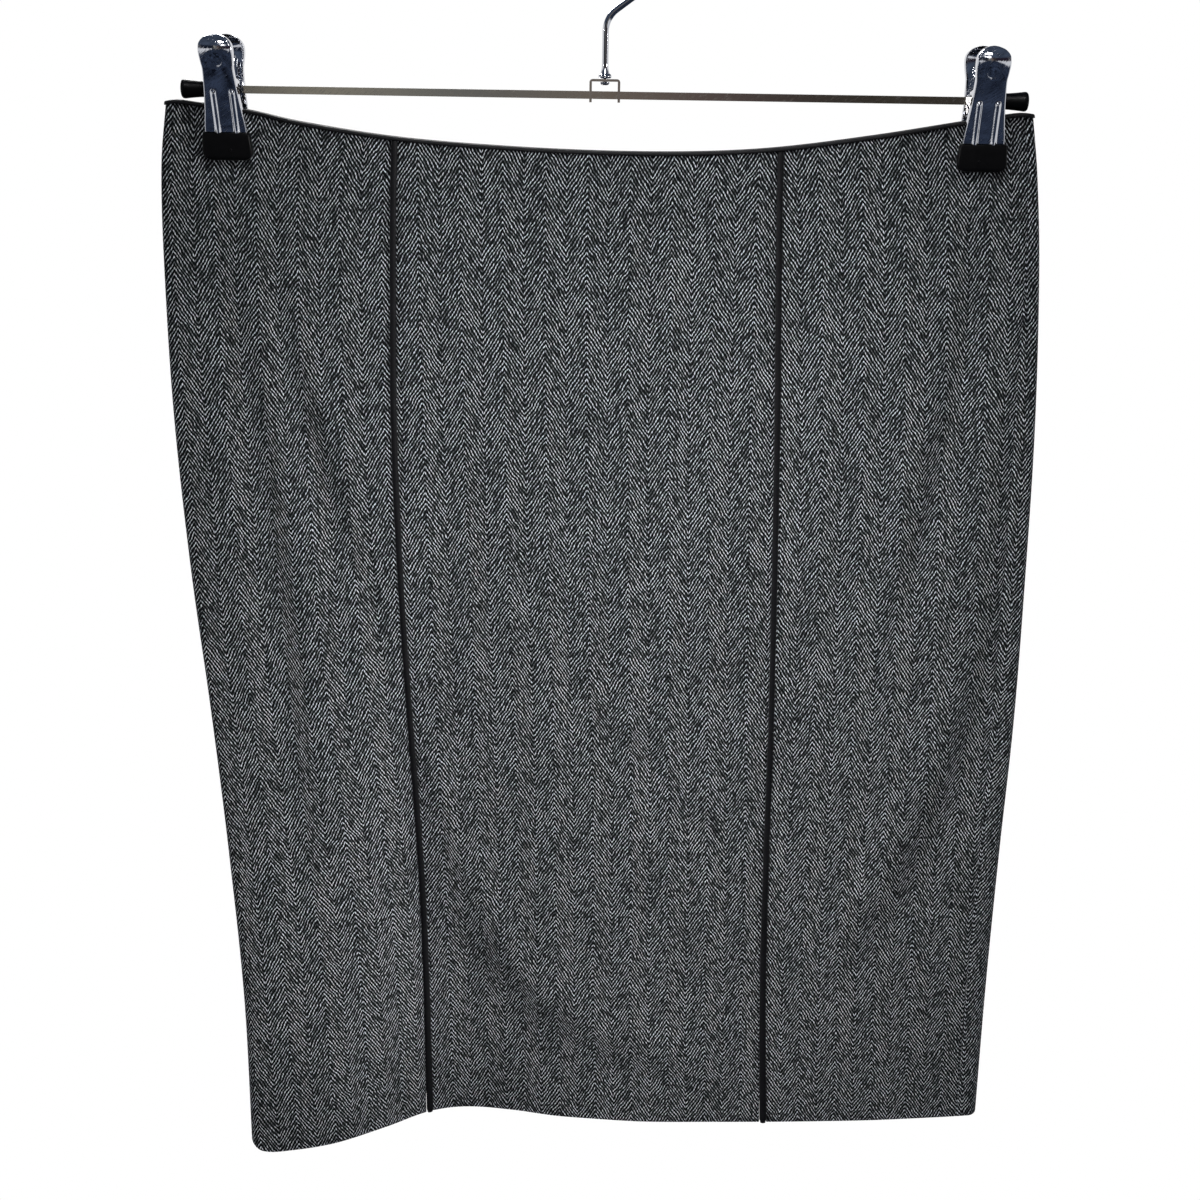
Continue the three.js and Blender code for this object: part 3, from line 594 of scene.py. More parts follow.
# The crests beside those folds, and the finer creases and dents, too small for the solids
DENTS = creases(
    Face.FRONT,
    (-189, 62, -161, 240, -146, 548, 8, -3.2), (-214, 120, -188, 300, -174, 520, 12, 0.9),
    (-162, 72, -138, 180, -104, 280, 8, -2.0), (-91, 326, -47, 482, 88, 545, 11, -3.0),
    (-108, 420, -70, 536, 30, 576, 15, 1.4), (185, 52, 171, 175, 148, 300, 9, -2.0),
    (204, 110, 197, 325, 122, 486, 11, -3.0), (222, 250, 212, 410, 162, 528, 15, 1.5),
    (-20, 262, 7, 320, 60, 352, 8, -2.4), (-30, 272, 1, 335, 56, 370, 8, 2.0),
    (40, 366, 66, 398, 94, 360, 8, 2.0), (46, 350, 68, 380, 90, 344, 8, -1.5),
    (-82, 160, -72, 220, -64, 280, 8, 1.0), (-94, 150, -86, 240, -78, 330, 9, -0.8),
    (40, 204, 62, 198, 86, 202, 7, 0.9), (52, 262, 72, 256, 92, 262, 6, 0.9),
    (54, 306, 72, 300, 93, 308, 6, 1.0), (118, 262, 130, 310, 142, 350, 10, 0.9),
    (104, 500, 126, 492, 152, 508, 10, 0.9), (40, 505, 62, 492, 94, 512, 9, 0.8),
    (-60, 286, -52, 306, -46, 330, 8, 0.8), (-100, 346, -80, 425, -46, 496, 6, 1.7),
    (-91, 346, -70, 420, -36, 484, 6, -1.6), (-201, 66, -176, 230, -160, 480, 8, 2.2),
    (-170, 84, -149, 190, -114, 284, 7, 1.5), (195, 60, 181, 175, 159, 302, 7, 1.4),
    (217, 116, 213, 330, 139, 508, 9, 1.8), (12, 190, 30, 250, 44, 312, 28, -1.6),
    (124, 110, 120, 190, 112, 260, 11, -0.9), (-146, 380, -142, 450, -138, 540, 8, 0.9),
) + creases(
    Face.BACK,
    (184, 54, 162, 250, 138, 500, 10, -1.5), (-182, 56, -150, 215, -84, 388, 10, -1.5),
    (138, 330, 60, 480, -56, 540, 12, -1.6), (70, 180, 60, 250, 66, 320, 10, 0.9),
    (-100, 90, -70, 170, -20, 210, 10, 0.8), (110, 60, 84, 130, 40, 170, 9, 0.7),
    (-150, 380, -130, 450, -140, 520, 12, -0.9), (40, 400, 20, 430, -16, 436, 10, 0.9),
)


@dataclass(frozen=True)
class ClothTube:
    """Where each place of the hanging tube of cloth is.

    A turn of 0 to 1 goes across the front from the left, 1 to 2 round the right side, 2 to 3 across the back
    and 3 to 4 round the left side. down is the share of the way from waist to hem.
    """

    swing_start: float = 0.07
    swing_power: float = 1.7
    pinched: float = 1.3
    jaw_x: float = 188.5
    jaw_drop: float = 27.3
    reach_x: float = 30.0
    reach_drop: float = 17.0
    firmness: float = 1.25

    def piping_spread(self, down: Array) -> Array:
        """How much wider than at the waist the piping is pressed towards the hem."""
        low = np.clip((down - 0.5) / 0.5, 0, 1)
        return 1 + 0.32 * low * low

    def section(self, column: int, down: Array) -> Array:
        """One column of the table of sections."""
        return smooth_table(SECTIONS[:, 0], SECTIONS[:, column], down)

    def drop_at(self, x: Array, down: Array) -> Array:
        """The drop below the rod of a place in X at a share of the length."""
        waist = smooth_table(WAIST_LINE[:, 0], WAIST_LINE[:, 1], x)
        return waist + down * (smooth_table(HEM_LINE[:, 0], HEM_LINE[:, 1], x) - waist)

    def middle(self, x: Array, down: Array) -> Array:
        """Y of the middle between the two layers."""
        grown = np.maximum(down - self.swing_start, 0) / (1 - self.swing_start)
        return smooth_table(HEM_SWING[:, 0], HEM_SWING[:, 1], x) * grown**self.swing_power

    def pinch(self, x: Array, drop: Array) -> Array:
        """How firmly the jaws press, from 0 to 1."""
        below = np.abs((drop - self.jaw_drop) / self.reach_drop) ** 4
        beside = np.abs((np.abs(x) - self.jaw_x) / self.reach_x) ** 4
        return np.minimum(1, self.firmness * np.exp(-beside - below))

    def ripple(self, face: Face, x: Array, drop: Array, down: Array) -> Array:
        """The cloth's own unevenness: broad soft waves, and puckers where the piping is sewn in."""
        turn = 1.0 if face is Face.FRONT else 2.3
        waves = 0.26 * np.sin(x / 13.7 + drop / 41 + turn) * np.sin(drop / 23.1 - x / 67 + 2 * turn)
        waves = waves + 0.3 * np.sin(x / 31.3 - drop / 58 + 3 * turn) * np.sin(drop / 47.9 + x / 90 + turn)
        waves = waves * np.clip((drop - 40) / 80, 0, 1)
        seams = (PIPE_LEFT, PIPE_RIGHT) if face is Face.FRONT else ()
        for column in seams:
            away = np.abs(x - self.section(column, down))
            beat = np.sin(drop / 2.6 + 1.7 * np.sin(drop / 17)) * (0.6 + 0.4 * np.sin(drop / 39))
            waves = waves + 0.13 * beat * np.exp(-((away / 7.0) ** 2))
        hem = np.exp(-(((HEM_DROP - HEM_TURN_UP - drop) / 1.6) ** 2))
        return waves + hem * (0.16 + 0.12 * np.sin(x / 1.1))

    def half_gap(self, face: Face, x: Array, down: Array) -> Array:
        """From the tube's middle to the middle of one layer's cloth."""
        left, right, roll = (self.section(c, down) for c in (LEFT, RIGHT, ROLL))
        width = right - left - 2 * roll
        across = np.clip((2 * x - left - right) / width, -1, 1)
        drop = self.drop_at(x, down)
        folds = sum(c.depth_at(x, drop) for c in FOLDS + DENTS if c.face is face)
        folds = folds + self.ripple(face, x, drop, down)
        full = roll + self.section(FULLNESS, down) * (1 - across**4) - folds * (1 - across**8)
        held = np.minimum(1, ((1 - np.abs(across)) * width) / (4 * roll))
        return full + (self.pinched - full) * self.pinch(x, drop) * held

    def at(self, turn: Array, down: Array) -> Array:
        """Points on the middle of the cloth.

        Args:
            turn: place around the tube.
            down: share of the length, of the same shape.

        Returns:
            The points in millimetres, with a last axis of three.
        """
        turn, down = np.broadcast_arrays(np.mod(turn, 4.0), down)
        part = np.floor(turn).astype(int) % 4
        share = turn - np.floor(turn)
        left, right, roll = (self.section(c, down) for c in (LEFT, RIGHT, ROLL))
        flat_left, flat_right = left + roll, right - roll
        on_front, on_back = part == 0, part == 2
        flat_x = flat_left + (flat_right - flat_left) * np.where(on_front, share, 1 - share)
        angle = np.pi * (share - 0.5) + np.where(part == 1, 0.0, np.pi)
        centre = np.where(part == 1, flat_right, flat_left)
        x = np.where(on_front | on_back, flat_x, centre + roll * np.cos(angle))
        y = self.middle(centre, down) + roll * np.sin(angle)
        for face, chosen in ((Face.FRONT, on_front), (Face.BACK, on_back)):
            if chosen.any():
                fx, fd = flat_x[chosen], down[chosen]
                y[chosen] = self.middle(fx, fd) + face.value * self.half_gap(face, fx, fd)
        return np.stack([x, y, -RAIL_TO_ROD - self.drop_at(x, down)], axis=-1)

    def outward(self, turn: Array, down: Array) -> Array:
        """Level unit vectors that point out of the cloth."""
        along = self.at(turn + 0.004, down) - self.at(turn - 0.004, down)
        out = np.stack([along[..., 1], -along[..., 0], np.zeros(along.shape[:-1])], axis=-1)
        return out / np.linalg.norm(out, axis=-1, keepdims=True)

    def seam(self, column: int, face: Face, down: Array) -> Array:
        """Place around the tube of one seam."""
        left, right, roll = (self.section(c, down) for c in (LEFT, RIGHT, ROLL))
        share = (self.section(column, down) - left - roll) / (right - left - 2 * roll)
        return share if face is Face.FRONT else 3 - share

    def moved(self, turn: Array, down: Array, length: Array | float) -> Array:
        """A place around the tube, moved by a length of cloth."""
        speed = np.linalg.norm(self.at(turn + 0.004, down) - self.at(turn - 0.004, down), axis=-1) / 0.008
        return turn + length / speed


@dataclass(frozen=True)
class Seam:
    """Where two panels meet: a column of the table of sections on one face, and half of the room left there."""

    column: int
    face: Face
    edge: float


SEAMS = {
    "pipe_left": Seam(PIPE_LEFT, Face.FRONT, PIPING_WIDTH / 2 + 0.04),
    "pipe_right": Seam(PIPE_RIGHT, Face.FRONT, PIPING_WIDTH / 2 + 0.04),
    "side_right": Seam(SIDE_RIGHT, Face.FRONT, 0.03),
    "side_left": Seam(SIDE_LEFT, Face.BACK, 0.03),
}


class Grain(Enum):
    """Where a panel's straight grain runs, which the stripes follow."""

    MIDDLE = "middle of the panel"
    LEFT_FRONT = "middle between the left edge and the left piping"
    RIGHT_FRONT = "middle between the right piping and the right edge"


@dataclass
class Panel:
    """One panel of jersey from seam to seam, with its turned-up hem and its edges rolled into the seams."""

    node: str
    start: str
    end: str
    grain: Grain
    first_peak: float
    flat: tuple[float, float]
    area: float
    column: float = 3.6
    row: float = 3.6
    arc_columns: int = 12
    hem_steps: int = 4
    tube: ClothTube = field(default_factory=ClothTube)

    def levels(self) -> Array:
        """Shares of the length at which the wall has a row of points, close together at the hem's fold."""
        even = np.linspace(0, 1 - CLOTH / LENGTH, round(LENGTH / self.row))
        fold = HEM_FOLD_AT + np.array([-0.9, -0.5, -0.15, 0.2, 0.6]) / LENGTH
        even = even[np.abs(even - HEM_FOLD_AT) > 1.6 / LENGTH]
        return np.sort(np.concatenate([even, fold]))

    def places(self, down: Array) -> tuple[Array, Array]:
        """Places around the tube of the panel's columns at each level.

        Args:
            down: the levels.

        Returns:
            The places, one row a level, and each column's distance to the nearer seam in millimetres.
        """
        ends = []
        for name, way in ((self.start, 1), (self.end, -1)):
            seam = SEAMS[name]
            turn = self.tube.seam(seam.column, seam.face, down)
            wide = self.tube.piping_spread(down) if "pipe" in name else 1.0
            ends.append(self.tube.moved(turn, down, way * seam.edge * wide))
        if ends[1].mean() < ends[0].mean():
            ends[1] = ends[1] + 4
        stops = [ends[0]]
        stops += [np.full(len(down), float(c)) for c in (1, 2, 3, 4) if ends[0].mean() < c < ends[1].mean()]
        stops.append(ends[1])
        columns = [stops[0]]
        half = len(down) // 2
        for a, b in zip(stops, stops[1:]):
            is_arc = int((a.mean() + b.mean()) / 2) % 2 == 1
            gap = np.diff(self.tube.at(np.array([a[half], b[half]]), down[[half, half]]), axis=0)
            length = float(np.linalg.norm(gap))
            steps = self.arc_columns if is_arc else max(1, round(length / self.column))
            shares = list(np.linspace(0, 1, steps + 1)[1:])
            near = [0.3 / length, 0.75 / length, 1.5 / length]
            if a is stops[0] and not is_arc:
                shares = near + shares
            if b is stops[-1] and not is_arc:
                shares = shares[:-1] + [1 - s for s in reversed(near)] + [1.0]
            columns += [a + (b - a) * share for share in sorted(shares)]
        turns = np.stack(columns, axis=1)
        along = self.tube.at(turns[half], np.full(turns.shape[1], down[half]))
        walked = np.concatenate([[0], np.cumsum(np.linalg.norm(np.diff(along, axis=0), axis=1))])
        return turns, np.minimum(walked, walked[-1] - walked)

    def grain_line(self, walked: Array, down: Array) -> Array:
        """How far along each row the straight grain is."""
        tube = self.tube
        if self.grain is Grain.LEFT_FRONT:
            return walked[:, -1] - (tube.section(PIPE_LEFT, down) - tube.section(LEFT, down)) / 2
        if self.grain is Grain.RIGHT_FRONT:
            return (tube.section(RIGHT, down) - tube.section(PIPE_RIGHT, down)) / 2
        return walked[:, -1] / 2

    def build(self, face_side: Material, reverse: Material) -> bpy.types.Object:
        """Makes the panel.

        Args:
            face_side: the finish of the jersey's right side.
            reverse: the finish of its wrong side.

        Returns:
            The panel, which stands for its solid.
        """
        down = self.levels()
        turns, to_seam = self.places(down)
        grid = np.broadcast_to(down[:, None], turns.shape)
        middle, out = self.tube.at(turns, grid), self.tube.outward(turns, grid)
        walked = np.zeros(turns.shape)
        walked[:, 1:] = np.cumsum(np.linalg.norm(np.diff(middle, axis=1), axis=2), axis=1)
        across = walked - self.grain_line(walked, down)[:, None]
        # the cloth's edge rolls down into the seam
        dip = 0.62 * np.exp(-((to_seam / 0.7) ** 2)) + 0.12 * np.exp(-((to_seam / 2.4) ** 2))
        outer = middle + out * (CLOTH / 2 - dip)[None, :, None]
        inside = np.where(down >= HEM_FOLD_AT, 1.5 * CLOTH, CLOTH / 2)
        inner = middle - out * inside[:, None, None]
        # round the bottom edge, from the outside to the turned-up layer
        angles = np.linspace(0, np.pi, self.hem_steps * 2 + 2)[1:-1]
        reach = np.where(np.cos(angles)[:, None] > 0, 1 - (dip / CLOTH)[None, :] * np.cos(angles)[:, None], 1.0)
        edge = (
            middle[-1][None]
            + out[-1][None] * (-CLOTH / 2 + CLOTH * np.cos(angles)[:, None] * reach)[..., None]
            + np.array([0, 0, -CLOTH]) * np.sin(angles)[:, None, None]
        )
        rows = np.concatenate([outer, edge, inner[::-1]])
        drop = -RAIL_TO_ROD - middle[..., 2]
        under = drop[-1][None] + CLOTH * angles[:, None]
        turned_up = np.where(inside[:, None] > CLOTH, 2 * drop[-1][None] + np.pi * CLOTH - drop, drop)
        v = np.concatenate([drop, under, turned_up[::-1]])
        u = np.concatenate([across, np.repeat(across[-1:], len(angles), axis=0), across[::-1]])
        count, columns = rows.shape[:2]
        faces, which = [], []
        for i in range(count):
            faces += band(i * columns, ((i + 1) % count) * columns, columns, closed=False)
            behind = i >= len(down) + len(angles) + int((inside > CLOTH).sum()) - 1
            which += [int(behind)] * (columns - 1)
        for side in (0, columns - 1):
            for k in range(count // 2 - 1):
                a, b, c, d = (n * columns + side for n in (k, k + 1, count - 2 - k, count - 1 - k))
                faces.append([a, b, c, d] if side == 0 else [d, c, b, a])
                which.append(0)
        uv = np.stack([u.ravel(), v.ravel()], axis=1)
        surface = rows.reshape(-1, 3), faces
        return dress(self.node, "jersey", surface, [face_side, reverse], uv, which, 70)


@dataclass
class Skirt:
    """The tube of four panels, its two lengths of piping and its bound waist."""

    tube: ClothTube = field(default_factory=ClothTube)
    panels: tuple[Panel, ...] = (
        Panel("front_centre_panel", "pipe_left", "pipe_right", Grain.MIDDLE, 0.6, (0.197, 0.562), 0.1085),
        Panel("front_right_panel", "pipe_right", "side_right", Grain.RIGHT_FRONT, 18.6, (0.126, 0.572), 0.0686),
        Panel("back_panel", "side_right", "side_left", Grain.MIDDLE, 0.6, (0.452, 0.578), 0.2508),
        Panel("front_left_panel", "side_left", "pipe_left", Grain.LEFT_FRONT, 11.5, (0.128, 0.574), 0.0672),
    )
    piping_sides: int = 16
    bound: float = 0.42  # how far down its own depth the folded edge of the binding reaches

    def build(self) -> None:
        """Builds and dresses every cloth piece."""
        reverse = JerseyReverse().build()
        tape = BiasTape().build()
        finishes: dict[float, Material] = {}
        for panel in self.panels:
            if panel.first_peak not in finishes:
                finishes[panel.first_peak] = HerringboneJersey(first_peak=panel.first_peak).build()
            panel.build(finishes[panel.first_peak], reverse)
        piping = [self.build_piping(name, tape) for name in ("left", "right")]
        binding = self.build_binding(tape)

    def build_piping(self, name: str, tape: Material) -> bpy.types.Object:
        """Makes the left or the right piping, from just under the binding to the hem."""
        seam = SEAMS[f"pipe_{name}"]
        down = np.linspace(self.bound * BINDING_END + 0.3 / LENGTH, 1 - 0.2 / LENGTH, 220)
        turn = self.tube.seam(seam.column, seam.face, down)
        centre, out = self.tube.at(turn, down), self.tube.outward(turn, down)
        across = np.stack([-out[:, 1], out[:, 0], np.zeros(len(down))], axis=1)
        angles = np.linspace(0, 2 * np.pi, self.piping_sides, endpoint=False)
        # the cord swells and thins a little where the stitches hold it
        drop = -RAIL_TO_ROD - centre[:, 2]
        swell = 1 + 0.025 * np.sin(drop / 2.3) + 0.02 * np.sin(drop / 7.7 + 1)
        shrink = np.ones(len(down))
        shrink[[0, -1]] = 0.72
        wide = shrink * self.tube.piping_spread(down)
        rings = (
            centre[:, None]
            + across[:, None] * (PIPING_WIDTH / 2 * np.cos(angles)[None] * wide[:, None])[..., None]
            + out[:, None]
            * (PIPING_PROUD + PIPING_THICKNESS / 2 * np.sin(angles)[None] * (swell * shrink)[:, None])[..., None]
        )
        u = np.repeat(drop, self.piping_sides)
        v = np.tile(angles * PIPING_WIDTH / 2, len(down))
        return dress(f"piping_{name}", "tape", loft(list(rings)), [tape], np.stack([u, v], axis=1))

    def build_binding(self, tape: Material) -> bpy.types.Object:
        """Makes the strip folded over the waist edge, joined at the left side seam."""
        # offset from the cloth's middle, share of the binding's depth, height above that place
        half = (
            (1.02, 1.0, 0.02), (1.3, 1.0, 0.0), (1.5, 0.94, 0.0), (1.58, 0.7, 0.0), (1.62, 0.4, 0.0),
            (1.6, 0.08, 0.0), (1.52, 0.0, 0.3), (1.22, 0.0, 0.68), (0.7, 0.0, 0.88),
        )
        inside = ((-1.0, 0.9, 0.0), (-1.0, 0.0, 0.2), (1.0, 0.0, 0.2), (1.0, 0.9, 0.0))
        profile = [*half, (0.0, 0.0, 0.93), *((-o, s, h) for o, s, h in reversed(half)), *inside]
        seam = SEAMS["side_left"]
        zero = np.zeros(1)
        start = float(self.tube.seam(seam.column, seam.face, zero)[0])
        flats = [np.linspace(a, b, n, endpoint=False) for a, b, n in (
            (start, 3.0, 4), (3.0, 4.0, 12), (4.0, 5.0, 150), (5.0, 6.0, 12), (6.0, start + 4, 150))]
        turns = np.concatenate([*flats, [start + 4]])
        turns[0] += 0.0004
        turns[-1] -= 0.0004
        rings = []
        for k, (offset, share, height) in enumerate(profile):
            down = np.full(len(turns), share * self.bound * BINDING_END)
            outermost = math.copysign(float(abs(offset) > 1.2), offset)
            ease = 0.04 * outermost * np.sin(np.arange(len(turns)) * 0.9 + k / 5)
            place = self.tube.at(turns, down) + self.tube.outward(turns, down) * (offset + ease)[:, None]
            rings.append(place + (0, 0, height))
        rows = np.stack(rings, axis=1)
        walked = np.concatenate([[0], np.cumsum(np.linalg.norm(np.diff(rows[:, 3], axis=0), axis=1))])
        around = np.concatenate([[0], np.cumsum(np.linalg.norm(np.diff(rows[0], axis=0), axis=1))])
        uv = np.stack([np.repeat(walked, len(profile)), np.tile(around, len(turns))], axis=1)
        return dress("waist_binding", "tape", loft(list(rows)), [tape], uv, smooth_angle=60)


# ---- The hanger ----


@dataclass
class Hook:
    """The hook's bent wire with its collar and rivet, which a bracket holds on the rod."""

    wire: float = 1.6
    round_radius: float = 23.7
    bend_radius: float = 13.0
    bend: float = math.radians(54)
    stem_top: float = 30.0
    end_angle: float = math.radians(198)
    seat: float = 8.0
    under: float = 6.2

    def line(self, count: int = 190) -> Array:
        """Points of the wire's centre above the rod's axis, from the stem's foot to the tip."""
        slope_start = self.bend_radius * (1 - math.cos(self.bend))
        slope = (self.round_radius * math.cos(self.bend) - slope_start) / math.sin(self.bend)
        bend_top = self.stem_top + self.bend_radius * math.sin(self.bend)
        centre = bend_top + slope * math.cos(self.bend) + self.round_radius * math.sin(self.bend)
        bottom = self.seat + 1.15
        turn = self.end_angle + self.bend
        lengths = [self.stem_top - bottom, self.bend_radius * self.bend, slope, self.round_radius * turn]
        points = []
        for along in np.linspace(0, sum(lengths), count):
            if along < lengths[0]:
                points.append((0.0, 0.0, bottom + along))
                continue
            along -= lengths[0]
            if along < lengths[1]:
                bent = along / self.bend_radius
                x = self.bend_radius * (1 - math.cos(bent))
                points.append((x, 0.0, self.stem_top + self.bend_radius * math.sin(bent)))
                continue
            along -= lengths[1]
            if along < lengths[2]:
                x = slope_start + along * math.sin(self.bend)
                points.append((x, 0.0, bend_top + along * math.cos(self.bend)))
                continue
            angle = (along - lengths[2]) / self.round_radius - self.bend
            x = self.round_radius * math.cos(angle)
            points.append((x, 0.0, centre + self.round_radius * math.sin(angle)))
        return np.array(points)

    def build(self, chrome: Material) -> None:
        """Makes the hook in its finish."""
        path = self.line()
        # the foot is upset against the collar
        height = path[:, 2] - path[0, 2]
        radii = self.wire + 0.75 * np.exp(-((height / 2.6) ** 2)) * (path[:, 2] < self.stem_top)
        # a ball closes the tip
        ahead = (path[-1] - path[-2]) / np.linalg.norm(path[-1] - path[-2])
        swell = np.linspace(0, math.pi / 2, 7)[1:-1]
        tip = [path[-1] + ahead * self.wire * math.sin(a) for a in swell]
        path = np.concatenate([path, tip])
        radii = np.concatenate([radii, [self.wire * math.cos(a) for a in swell]])
        seat, under = self.seat, self.under
        foot = turned(
            [
                (0.4, under - 1.5), (1.2, under - 1.42), (1.9, under - 1.1), (2.28, under - 0.6), (2.3, under - 0.1),
                (2.2, under), (1.3, under + 0.05), (1.3, seat - 0.05), (2.5, seat), (3.0, seat + 0.25),
                (3.25, seat + 0.75), (3.25, seat + 1.25), (3.0, seat + 1.75), (2.5, seat + 2.15), (1.9, seat + 2.4),
                (0.4, seat + 2.45),
            ],
            28,
        )
        points, faces = together([sweep(path, radii, 20), foot])
        dress("hook", "wire", (points + (0, 0, -RAIL_TO_ROD), faces), [chrome], smooth_angle=50)


@dataclass
class RodCap:
    """The flared rubber sleeve on one end of the rod."""

    side: int
    rod_length: float = 420.0
    profile: tuple[tuple[float, float], ...] = (
        (0.4, 0.25), (2.2, 0.0), (3.3, 0.08), (4.1, 0.32), (4.6, 0.85), (4.75, 1.6), (4.66, 2.6), (4.5, 3.6),
        (4.2, 6.5), (3.95, 9.5), (3.84, 11.6), (3.7, 12.05), (3.4, 12.2), (2.75, 12.2), (2.7, 11.8), (0.5, 11.8),
    )

    def build(self, rubber: Material) -> None:
        """Makes the cap in its finish."""
        points, faces = turned(self.profile, 32)
        x = self.side * self.rod_length / 2 - self.side * points[:, 2]
        placed = np.stack([x, points[:, 0], points[:, 1] - RAIL_TO_ROD], axis=1)
        name = "left" if self.side < 0 else "right"
        dress(f"rod_cap_{name}", "sleeve", (placed, faces), [rubber], smooth_angle=50)


@dataclass
class Clip:
    """One spring clip: two pressed plates, their rubber boots and the spring round the rod."""

    side: int
    offset: float = 188.5
    steel: float = 0.85
    ear_x: float = 6.45
    shoulder: float = 0.9
    rib_offset: float = 4.6
    rib_half: float = 1.75
    rib_height: float = 1.05
    dimple_z: float = 14.0
    dimple_radius: float = 3.5
    dimple_depth: float = 1.0
    rows: int = 84
    lean: float = 0.0
    rib_shift: float = 0.0
    # z, half the width, face, lip, crown
    plate: tuple[tuple[float, ...], ...] = (
        (26.2, 0.5, 13.9, 1.6, 0.0),
        (25.9, 2.3, 14.4, 2.2, 0.15),
        (24.5, 5.4, 16.0, 3.6, 0.9),
        (21.6, 7.8, 16.9, 4.4, 1.8),
        (18.0, 8.3, 16.8, 4.4, 2.0),
        (13.8, 8.0, 15.8, 4.2, 1.4),
        (10.0, 7.6, 14.6, 4.0, 0.6),
        (-0.6, 8.3, 11.3, 4.0, 0.1),
        (-9.0, 9.2, 9.0, 3.4, 0.1),
        (-19.2, 10.3, 6.5, 1.9, 0.1),
        (-31.0, 10.2, 5.1, 1.8, 0.1),
    )
    ear_outline: tuple[tuple[float, float], ...] = (
        (-13.2, 7.2), (-10.75, -0.6), (-9.0, -7.2), (3.2, -3.9), (4.2, -1.6), (4.4, 0.0), (4.2, 1.6), (3.2, 3.9),
    )

    @property
    def name(self) -> str:
        """left or right."""
        return "left" if self.side < 0 else "right"

    def place(self, points: Array, turned_round: bool = False) -> Array:
        """Moves points from the clip's own middle to its place on the rod."""
        way = -1 if turned_round else 1
        leaning = np.outer(points[:, 2] * self.lean, (-1, 0, 0))
        return points * (way, way, 1) + leaning + (self.side * self.offset, 0, -RAIL_TO_ROD)

    def plate_surface(self) -> Surface:
        """The pressed plate as a thin closed shell, with its face towards -Y."""
        table = np.array(self.plate)[::-1]
        heights = np.unique(np.concatenate([np.linspace(-31.0, 23.0, self.rows), np.linspace(23.0, 26.2, 14)]))
        rows_out, rows_in = [], []
        for z in heights:
            half, face, lip, crown = (
                float(smooth_table(table[:, 0], table[:, c], np.array([z]))[0]) for c in (1, 2, 3, 4)
            )
            half = max(half, 0.5)
            round_off = min(self.shoulder, half * 0.35, lip * 0.3)
            arc = np.linspace(0, math.pi / 2, 6)
            flat = np.linspace(-(half - round_off), half - round_off, 45)
            face_y = face + crown * (1 - (flat / half) ** 2) + self.relief(flat, z)
            end_y = face + crown * (1 - ((half - round_off) / half) ** 2)
            corner_x = half - round_off + round_off * np.cos(arc)
            corner_y = end_y - round_off + round_off * np.sin(arc)
            lip_y = np.linspace(face - lip, corner_y[0], 5)[:-1]
            x = np.concatenate([-np.full(4, half), -corner_x[:-1], flat, corner_x[:-1][::-1], np.full(4, half)])
            y = np.concatenate([lip_y, corner_y[:-1], face_y, corner_y[:-1][::-1], lip_y[::-1]])
            outline = np.stack([x, y], axis=1)
            tangent = np.gradient(outline, axis=0)
            tangent /= np.maximum(np.linalg.norm(tangent, axis=1), 1e-9)[:, None]
            normal = np.stack([tangent[:, 1], -tangent[:, 0]], axis=1)
            steel = min(self.steel, 0.45 * half, 0.4 * lip)
            within = outline + normal * steel
            rows_out.append(np.stack([x, -y, np.full(len(x), z)], axis=1))
            rows_in.append(np.stack([within[:, 0], -within[:, 1], np.full(len(x), z)], axis=1))
        return loft([np.concatenate([o, i[::-1]]) for o, i in zip(rows_out, rows_in)])

    def relief(self, x: Array, z: float) -> Array:
        """How far the two pressed ribs stand out of the face, and the ball dimple goes in."""
        ends = np.clip((0.4 - z) / 2.2, 0, 1) * np.clip((z + 31.5) / 2.0, 0, 1)
        ends = ends * ends * (3 - 2 * ends)
        rise = np.zeros(len(x))
        for side in (-1, 1):
            away = np.abs(x - side * self.rib_offset - self.rib_shift) / self.rib_half
            rise += np.where(away < 1, 0.5 + 0.5 * np.cos(np.pi * np.clip(away, 0, 1) ** 1.35), 0)
        ball = 1 - (x**2 + (z - self.dimple_z) ** 2) / self.dimple_radius**2
        return self.rib_height * rise * ends - self.dimple_depth * np.clip(ball, 0, 1) ** 0.75

    def ear(self, x: float) -> Surface:
        """One ear, through which the rod passes.

        Args:
            x: its middle from the clip's middle.

        Returns:
            The points and the faces of a flat ring.
        """
        outline = np.array(self.ear_outline)
        angles = np.sort(np.concatenate([np.arctan2(outline[:, 1], outline[:, 0]), np.linspace(-3.1, 3.0, 22)]))
        outer = []
        for angle in angles:
            ray = np.array([math.cos(angle), math.sin(angle)])
            best = 0.0
            for a, b in zip(outline, np.roll(outline, -1, axis=0)):
                det = ray[0] * (a - b)[1] - ray[1] * (a - b)[0]
                if abs(det) < 1e-9:
                    continue
                far = (a[0] * (a - b)[1] - a[1] * (a - b)[0]) / det
                share = (ray[0] * a[1] - ray[1] * a[0]) / det
                if far > 0 and -1e-6 <= share <= 1 + 1e-6:
                    best = max(best, far)
            outer.append(ray * best)
        inner = [(2.95 * math.cos(a), 2.95 * math.sin(a)) for a in angles]
        half = self.steel / 2
        rings = [(outer, -half), (outer, half), (inner, half), (inner, -half)]
        rows = [np.array([(x + dx, y, z) for y, z in ring]) for ring, dx in rings]
        points, faces = loft(rows, capped=False)
        count = len(angles)
        return points, faces + band(3 * count, 0, count)

